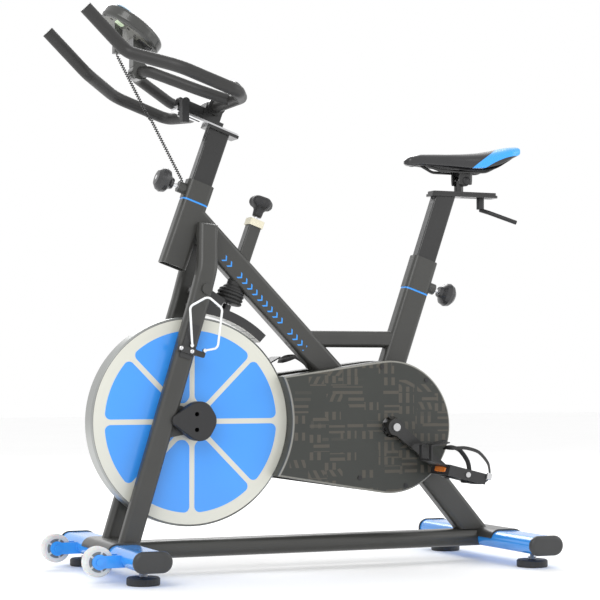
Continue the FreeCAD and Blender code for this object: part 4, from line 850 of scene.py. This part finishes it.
@dataclass
class Wheelworks:
    """Flywheel, drive, cranks, pedals and guards."""

    paints: Paints
    flywheel_face: float = -0.036
    crank_lean: float = math.radians(38.4)
    reflector_reach: float = 0.0482
    strap_half_width: float = 0.0052
    strap_half_thickness: float = 0.0009
    strap_loop: tuple = (
        (-0.040, -0.026, 0.050), (-0.006, -0.038, 0.062), (0.034, -0.045, 0.050), (0.056, -0.045, 0.018),
        (0.054, -0.042, -0.006), (0.030, -0.030, -0.0155), (0.016, 0.0, -0.0165),
        (0.028, 0.030, -0.0155), (0.050, 0.042, -0.006), (0.052, 0.045, 0.018), (0.030, 0.045, 0.050),
        (-0.008, 0.038, 0.062), (-0.040, 0.026, 0.050), (-0.046, 0.0, 0.051))

    def dress(self) -> None:
        """Finish the turning pieces and the guards, and add the pedals' reflectors and straps."""
        dress_nodes(FlywheelFace("flywheel_finish", self.flywheel_face).build(), "flywheel")
        aluminium = TurnedMetal("turned_aluminium", (0.7, 0.7, 0.71), 0.3)
        for name in ("flywheel_pulley", "drive_pulley"):
            dress_nodes(aluminium.build(), name)
        dress_nodes(self.paints.steel, "crank_axle", "pedal_axles")
        dress_nodes(self.paints.gloss, "left_crank_arm", "right_crank_arm")
        for name in ("left_pedal", "right_pedal"):
            dress_nodes(Moulded(f"{name}_moulding", (0.016, 0.016, 0.017), 0.42).build(), name)
        for name in ("left_guard", "right_guard"):
            dress_nodes(PatternedGuard("guard_finish").build(), name)
        dress_nodes(RibbedBelt("belt_rubber").build(), "drive_belt")
        for side in Side:
            self.reflectors(side)
        for side in Side:
            self.strap(side)

    def pedal(self, side: Side) -> tuple[str, float, Array]:
        """A pedal's body, its tilt about its axle, and its centre.

        The centre is the crank axis plus the arm's length along its lean, midway across the pedal.
        """
        left = side is Side.LEFT
        body = "left_pedal" if left else "right_pedal"
        reach = CRANK_ARM if left else -CRANK_ARM
        centre = (CRANK_AXIS[0] + reach * math.cos(self.crank_lean), middle(body)[1],
                  CRANK_AXIS[2] - reach * math.sin(self.crank_lean))
        return body, math.radians(14 if left else -6), np.array(centre)

    def reflectors(self, side: Side) -> None:
        """Amber reflectors set in both ends of a pedal."""
        body, tilt, centre = self.pedal(side)
        ahead = np.array([math.cos(tilt), 0.0, -math.sin(tilt)])
        axes = basis(tuple(ahead), (0.0, 1.0, 0.0))
        for end, tag in ((1, "rear"), (-1, "front")):
            spot = tuple(centre + ahead * self.reflector_reach * end)
            put(f"{body}_{tag}_reflector", rounded_slab(spot, (0.026, 0.006, 0.0016), axes),
                self.paints.amber, body)

    def strap(self, side: Side) -> None:
        """Toe strap: a flat band carried round a loop through the cage and under the pedal.

        The loop's points, in the pedal's own directions, are joined by a closed smooth curve, a
        periodic sum of the points weighted by a raised cosine of the distance along it. The
        band's section is a superellipse, wide across the line from the path to its middle.
        """
        body, tilt, centre = self.pedal(side)
        axes = np.array([[math.cos(tilt), 0, -math.sin(tilt)], [0, 1, 0],
                         [math.sin(tilt), 0, math.cos(tilt)]])
        loop = np.array(self.strap_loop)
        count, reach = len(loop), 1.5
        share = np.linspace(0, count, 168, endpoint=False)
        gap = np.abs((share[:, None] - np.arange(count)[None, :] + count / 2) % count - count / 2)
        weight = np.where(gap < reach, 0.5 + 0.5 * np.cos(gap / reach * math.pi), 0)
        path = (weight / weight.sum(axis=1, keepdims=True)) @ loop
        ahead = np.roll(path, -1, axis=0) - np.roll(path, 1, axis=0)
        ahead /= np.linalg.norm(ahead, axis=1, keepdims=True)
        wide = np.cross(ahead, path.mean(axis=0) - path)
        wide /= np.linalg.norm(wide, axis=1, keepdims=True)
        thick = np.cross(wide, ahead)
        cos, sin = np.cos(circle(12)), np.sin(circle(12))
        across = (self.strap_half_width * np.sign(cos) * np.abs(cos) ** 0.4)[None, :, None]
        through = (self.strap_half_thickness * sin)[None, :, None]
        grid = (path[:, None] + wide[:, None] * across + thick[:, None] * through) @ axes + centre
        put(f"{body}_strap", grid, self.paints.rubber, body, (True, True), False)
        spot = tuple(np.array([0.053, -0.0455, 0.008]) @ axes + centre)
        buckle = rounded_slab(spot, (0.008, 0.0075, 0.0022), basis((0.3, -1, 0), tuple(axes[2])))
        put(f"{body}_buckle", buckle, self.paints.steel, body)


@dataclass
class Brake:
    """Tension knob, rod, boot and magnetic arm."""

    paints: Paints
    foot: Point = (-0.1321, 0.0, 0.706)

    def dress(self) -> None:
        """Finish the brake's CAD nodes and make its knob and boot."""
        dress_nodes(TurnedMetal("rod_steel", (0.72, 0.72, 0.74), 0.22).build(), "tension_rod")
        dress_nodes(self.paints.cream, "tension_cap")
        dress_nodes(CaliperFinish("caliper_black").build(), "brake_arm")
        self.knob()
        self.boot()

    def knob(self) -> None:
        """Five-lobed knob: a mushroom profile whose radius swells five times round."""
        turn = np.linspace(0, 1, 22) * math.pi / 2
        radius, shoulder, height = 0.0262, 0.124, 0.0135
        crown = np.stack([radius * np.cos(turn) ** 0.42, shoulder + height * np.sin(turn)], 1)
        stem = np.array([[0.0045, 0.0905], [0.0105, 0.0905], [0.0112, 0.096], [0.0118, 0.104],
                         [0.0145, 0.109], [0.021, 0.1125], [0.0248, 0.117], [radius, 0.121]])
        profile = np.concatenate([stem, crown[:-1], [[0.0008, shoulder + height]]])
        item = put("tension_knob_grip", turned(profile, self.foot, UP_POST, 120, 5, 0.075),
                   self.paints.plastic, "tension_knob")
        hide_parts("tension_knob")

    def boot(self) -> None:
        """Corrugated boot: the radius is a rectified sine of the height over a slow taper."""
        bottom, top, pitch, bore = -0.1175, -0.045, 0.0082, 0.0065
        height = np.linspace(bottom, top, 240)
        folds = np.abs(np.sin((height - bottom) / pitch * math.pi)) ** 0.7
        hidden = np.clip((height + 0.092) / 0.016, 0, 1)
        radius = (0.0265 + 0.0044 * folds) * (1 - hidden) + 0.0165 * hidden
        wall = np.stack([radius, height], axis=1)
        profile = np.concatenate([[[bore, bottom]], wall, [[bore, top]]])
        item = put("bellows_boot", turned(profile, self.foot, UP_POST, 72), self.paints.rubber, "frame")
        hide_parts("bellows")


@dataclass
class Cockpit:
    """Handlebar, its post and carriage, the console and its lead."""

    paints: Paints
    centre: Point = (-0.3991, 0.0, 1.194)
    slope: float = math.radians(36)
    lead_radius: float = 0.0040
    lead_wire: float = 0.0026
    lead_pitch: float = 0.0055
    lead_runs: tuple = (
        ("lead_lower_coil", "console_lead_lower", ("frame", "handlebar_post"),
         (-0.2786, 0.0, 0.862), (-0.3581, 0.0, 1.0065)),
        ("lead_upper_coil", "console_lead_upper", ("handlebar_carriage", "handlebar_post"),
         (-0.4316, 0.0086, 1.1405), (-0.3533, 0.0086, 0.998)),
    )

    def dress(self) -> None:
        """Finish the CAD nodes, then add the display and lead."""
        dress_nodes(self.paints.gloss, "handlebar_post")
        dress_nodes(PowderCoat("carriage_black", BLACK, 0.3, 0.3).build(), "handlebar_carriage")
        dress_nodes(TurnedMetal("rail_steel", (0.7, 0.7, 0.71), 0.25, (30, 1, 1)).build(), "slide_rail")
        dress_nodes(Moulded("dipped_grip", (0.017, 0.0165, 0.016), 0.46, 1300, 0.3).build(), "handlebar")
        dress_nodes(self.paints.plastic, "handlebar_lever")
        for name, origin, up in (("handlebar_pin_knob", (-0.2465, 0.0, 0.838), UP_POST),
                                 ("seat_pin_knob", (0.3024, 0.0, 0.6499), UP_SEAT)):
            dress_nodes(PinFinish(f"{name}_finish", origin, (up[2], 0.0, -up[0])).build(), name)
        dress_nodes(ConsoleShell("console_case", self.centre, tuple(self.axes()[2])).build(), "console")
        for name in ("mode_button", "reset_button"):
            dress_nodes(Moulded(f"{name}_grey", (0.45, 0.47, 0.5), 0.3).build(), name)
        self.display()
        self.back()
        self.lead()

    def axes(self) -> Array:
        """Rows: down the console's face, across it, and out of it."""
        down = (math.cos(self.slope), 0.0, -math.sin(self.slope))
        out = (math.sin(self.slope), 0.0, math.cos(self.slope))
        return basis(out, down)

    def spot(self, down: float, side: float, out: float) -> Point:
        """A point given along the console's own axes."""
        local = np.array([down, side, out]) @ self.axes()
        return tuple(local + np.array(self.centre))

    def plate(self, name: str, place: Point, half: Point, material: Material,
              power: float = 6.0) -> None:
        """Lay a pillow-edged slab on the console, at a place along the console's own axes."""
        put(name, rounded_slab(self.spot(*place), half, self.axes(), power), material, "handlebar_carriage")

    def display(self) -> None:
        """Screen and pale bezel on the face towards the rider."""
        bezel = Moulded("bezel_blue", (0.45, 0.62, 0.80), 0.18, 900, 0.1, 0.5).build()
        self.plate("console_bezel", (-0.012, 0, 0.0148), (0.052, 0.049, 0.0016), bezel, 4.0)
        glass = ScreenGlass("console_glass", self.spot(-0.014, 0, 0.016), tuple(self.axes()[0])).build()
        self.plate("console_screen", (-0.014, 0, 0.0158), (0.041, 0.041, 0.0015), glass, 8.0)

    def back(self) -> None:
        """Plain sticker, battery cover and slots on the face away from the rider."""
        sticker = Moulded("plain_sticker", (0.62, 0.78, 0.52), 0.35, 300, 0.05).build()
        self.plate("console_sticker", (-0.034, -0.026, -0.0151), (0.010, 0.011, 0.0006), sticker, 12.0)
        dark = self.paints.plastic
        self.plate("console_battery_cover", (0.038, -0.012, -0.0154), (0.018, 0.020, 0.0012), dark, 8.0)
        slots = ((-0.012, -0.034), (0.008, -0.032), (0.010, -0.022), (-0.052, -0.016))
        for number, (down, side) in enumerate(slots, 1):
            self.plate(f"console_slot_{number}", (down, side, -0.0151), (0.0035, 0.002, 0.0008), dark)

    def lead(self) -> None:
        """Curly lead drawn out taut, in two lengths that meet at a point; neither rides on a body."""
        jacket = Moulded("lead_jacket", (0.012, 0.012, 0.013), 0.35, 900, 0.1, 0.2).build()
        for name, node, bodies, start, end in self.lead_runs:
            path = coil(start, end, self.lead_radius - self.lead_wire / 2, self.lead_pitch)
            item = put(name, tube(path, self.lead_wire / 2, 7), jacket, None)
            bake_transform(item)
            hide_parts(node)


@dataclass
class Seat:
    """Seat post, slider and saddle."""

    paints: Paints

    def dress(self) -> None:
        """Finish the post and slider, then make the saddle."""
        dress_nodes(self.paints.gloss, "seat_post")
        dress_nodes(PowderCoat("seat_carriage_black", BLACK, 0.3, 0.3).build(), "seat_carriage")
        dress_nodes(self.paints.plastic, "seat_lever")
        self.saddle()

    def saddle(self) -> None:
        """Sewn saddle over a shell.

        Along the length the half width eases from a slim nose to broad wings, and each
        section is near an ellipse: its side is the signed power 0.8 of the cosine, its top the
        power 0.75 and its underside the power 0.42 of the sine. The top is lowered along the
        middle by a shallow bell-shaped channel, and the underside is hollowed where it is thick.
        """
        low, high = (np.array(corner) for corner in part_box("saddle"))
        share = 0.5 - 0.5 * np.cos(np.linspace(0.02, math.pi - 0.02, 110))
        knots = np.array([0, 0.03, 0.12, 0.35, 0.5, 0.62, 0.75, 0.86, 0.95, 1.0])
        half, top, base = (eased(np.interp(share, knots, values), 11) for values in (
            [0.003, 0.014, 0.021, 0.029, 0.046, 0.062, 0.073, 0.0785, 0.070, 0.030],
            [0.936, 0.945, 0.952, 0.955, 0.957, 0.960, 0.967, 0.975, 0.978, 0.972],
            [0.928, 0.924, 0.923, 0.918, 0.911, 0.909, 0.917, 0.936, 0.951, 0.962]))
        cos, sin = np.cos(circle(96)), np.sin(circle(96))
        side = np.sign(cos) * np.abs(cos) ** 0.8
        rise = np.where(sin > 0, np.abs(sin) ** 0.75, -np.abs(sin) ** 0.42)
        middle, thick = (top + base) / 2, (top - base) / 2
        y = half[:, None] * side[None, :]
        z = middle[:, None] + thick[:, None] * rise[None, :]
        channel_width, channel_depth = 0.009, 0.006
        run = np.sin(np.clip((share - 0.3) / 0.6, 0, 1) * math.pi)
        z = z - channel_depth * np.exp(-(y / channel_width) ** 2) * run[:, None] * (sin > 0)[None, :]
        hollow = np.clip(1 - (y / np.maximum(half[:, None], 0.001)) ** 2, 0, 1) * (sin < 0)[None, :]
        z = z + hollow * np.clip(thick[:, None] * 2 - 0.024, 0, 0.02)
        x = np.broadcast_to((low[0] + share * (high[0] - low[0]))[:, None], y.shape)
        finish = SaddleVinyl("saddle_vinyl", low[0])
        item = put("saddle_pad", np.stack([x, y, z], axis=-1), finish.build(), "saddle")
        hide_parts("saddle")
        self.shell(low[0] + 0.006 + share * (high[0] - low[0] - 0.014), half, base, top)
        self.rails(low[0])

    def shell(self, along: Array, half: Array, base: Array, top: Array) -> None:
        """Moulded shell under the pad: a thinner slab with the pad's own plan, slightly inset."""
        cos, sin = np.cos(circle(64))[None, :], np.sin(circle(64))[None, :]
        y = half[:, None] * 0.9 * cos
        lift = np.clip((top - base)[:, None] - 0.024, 0, 0.02) * sin ** 2
        z = base[:, None] + 0.0035 + lift + 0.0045 * sin
        x = np.broadcast_to(along[:, None], y.shape)
        put("saddle_shell", np.stack([x, y, z], axis=-1), self.paints.plastic, "saddle")

    def rails(self, nose: float) -> None:
        """Two bent wires and the clamp under the saddle."""
        for side in Side:
            y = side.value * 0.022
            points = np.array([[0.050, y * 0.5, 0.927], [0.085, y, 0.914], [0.14, y, 0.914],
                               [0.205, y, 0.916], [0.248, y * 1.3, 0.938]])
            t = np.linspace(0, 4, 60)
            path = np.stack([np.interp(t, np.arange(5), points[:, k]) for k in range(3)], axis=1)
            path = np.stack([eased(path[:, k], 9) for k in range(3)], axis=1)
            put(f"saddle_rail_{side.name.lower()}", tube(path + np.array([nose, 0, 0]), 0.0035, 14),
                self.paints.gloss, "saddle")
        half_bolt = np.array([[0.006, 0.0215], [0.0095, 0.0215], [0.0095, 0.0245],
                              [0.009, 0.026], [0.0002, 0.026]])
        bolt = np.concatenate([half_bolt[::-1] * (1, -1), half_bolt])
        clamp_x = 0.4229
        put("saddle_clamp_bolt", turned(bolt, (clamp_x, 0.0, 0.8933), (0.0, 1.0, 0.0), 48),
            self.paints.plastic, "saddle")
        for side in Side:
            put(f"saddle_clamp_cheek_{side.name.lower()}",
                rounded_slab((clamp_x, side.value * 0.0198, 0.903), (0.017, 0.004, 0.019), np.eye(3), 4.0),
                self.paints.gloss, "saddle")


@dataclass
class Bottle:
    """White wire bottle cage."""

    black: Material

    def dress(self) -> None:
        """Give the wire its plastic-dipped white finish and the plate its black one."""
        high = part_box("bottle_cage")[1]
        dress_nodes(CageFinish("dipped_white", high[1] - 0.0085).build(), "bottle_cage")
        self.clamp(high[1])

    def clamp(self, face: float) -> None:
        """The clamp's end past the leg, and two domed screws, each a quarter oval turned about its axis."""
        steel = TurnedMetal("cage_screw_steel", (0.75, 0.75, 0.76), 0.18).build()
        lean = math.radians(16.8)
        turn = np.linspace(0, math.pi / 2, 8)
        radius, height = 0.0052, 0.0032
        dome = np.stack([radius * np.cos(turn), height * np.sin(turn)], 1)[:-1]
        profile = np.concatenate([[[radius, -0.002]], dome, [[0.0005, height]]])
        ahead = np.array([math.cos(lean), 0.0, -math.sin(lean)])
        clamp = np.array([-0.2818, 0.0, 0.530]) + 0.044 * np.array([-math.sin(lean), 0.0, -math.cos(lean)])
        end = clamp + 0.029 * ahead
        put("cage_clamp_end", rounded_slab((end[0], face - 0.0058, end[2]), (0.0125, 0.0065, 0.0035),
                                           basis((0.0, -1.0, 0.0), tuple(ahead)), 5.0), self.black, "frame")
        for number, along in enumerate((-0.016, 0.010)):
            spot = clamp + along * ahead
            spot[1] = face - 0.008
            put(f"cage_screw_{number + 1}", turned(profile, tuple(spot), (0.0, -1.0, 0.0), 32),
                steel, "frame")


@dataclass
class Studio:
    """Pale floor, soft lights and the camera."""

    def light(self, name: str, place: Point, aim: Point, size: float, power: float) -> None:
        """Add a square lamp that faces a point."""
        data = bpy.data.lights.new(name, "AREA")
        data.size = size
        data.energy = power
        lamp = bpy.data.objects.new(name, data)
        lamp.location = place
        frame = basis(tuple(np.array(place) - np.array(aim)), (0.3, 0.9, 0.1))
        lamp.rotation_euler = Matrix(frame.T.tolist()).to_euler()
        bpy.context.collection.objects.link(lamp)

    def build(self) -> None:
        """Make the world, floor, lights and camera."""
        world = bpy.data.worlds.new("studio")
        world.use_nodes = True
        background = world.node_tree.nodes["Background"]
        background.inputs["Color"].default_value = (1.0, 1.0, 1.0, 1.0)
        background.inputs["Strength"].default_value = 1.0
        bpy.context.scene.world = world
        bpy.context.scene.view_settings.view_transform = "Standard"
        self.light("key", (-2.6, -3.2, 3.4), (0, 0, 0.5), 2.6, 70)
        self.light("fill", (3.2, -2.2, 1.8), (0, 0, 0.5), 2.4, 25)
        self.light("back", (0.6, 3.4, 3.2), (0, 0, 0.6), 2.4, 90)
        self.floor()
        data = bpy.data.cameras.new("camera")
        data.lens = 108.78
        data.sensor_width = 36.0
        camera = bpy.data.objects.new("camera", data)
        camera.location = (-1.6175, -3.8024, 0.4355)
        camera.rotation_euler = (math.pi / 2 + 0.0409, 0.0, -0.4033)
        bpy.context.collection.objects.link(camera)
        bpy.context.scene.camera = camera

    def floor(self) -> None:
        """Large flat pale floor."""
        maker = Maker("studio_paper")
        base = maker.mix(maker.noise(2, 2), (0.95, 0.95, 0.95), (0.98, 0.98, 0.98))
        paper = maker.dress({"Base Color": base, "Roughness": 0.9})
        half = 14.0
        corners = [(-half, -half, 0), (half, -half, 0), (half, half, 0), (-half, half, 0)]
        mesh = bpy.data.meshes.new("floor")
        mesh.from_pydata(corners, [], [(0, 1, 2, 3)])
        mesh.materials.append(paper)
        item = bpy.data.objects.new("floor", mesh)
        bpy.context.collection.objects.link(item)


def main() -> None:
    """Build the cycle's looks in order."""
    logging.basicConfig(level=logging.INFO, format="%(message)s")
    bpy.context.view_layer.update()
    Studio().build()
    paints = Paints()
    Frame(paints).dress()
    Wheelworks(paints).dress()
    Brake(paints).dress()
    Cockpit(paints).dress()
    Seat(paints).dress()
    Bottle(paints.gloss).dress()


if __name__ == "__main__":
    main()
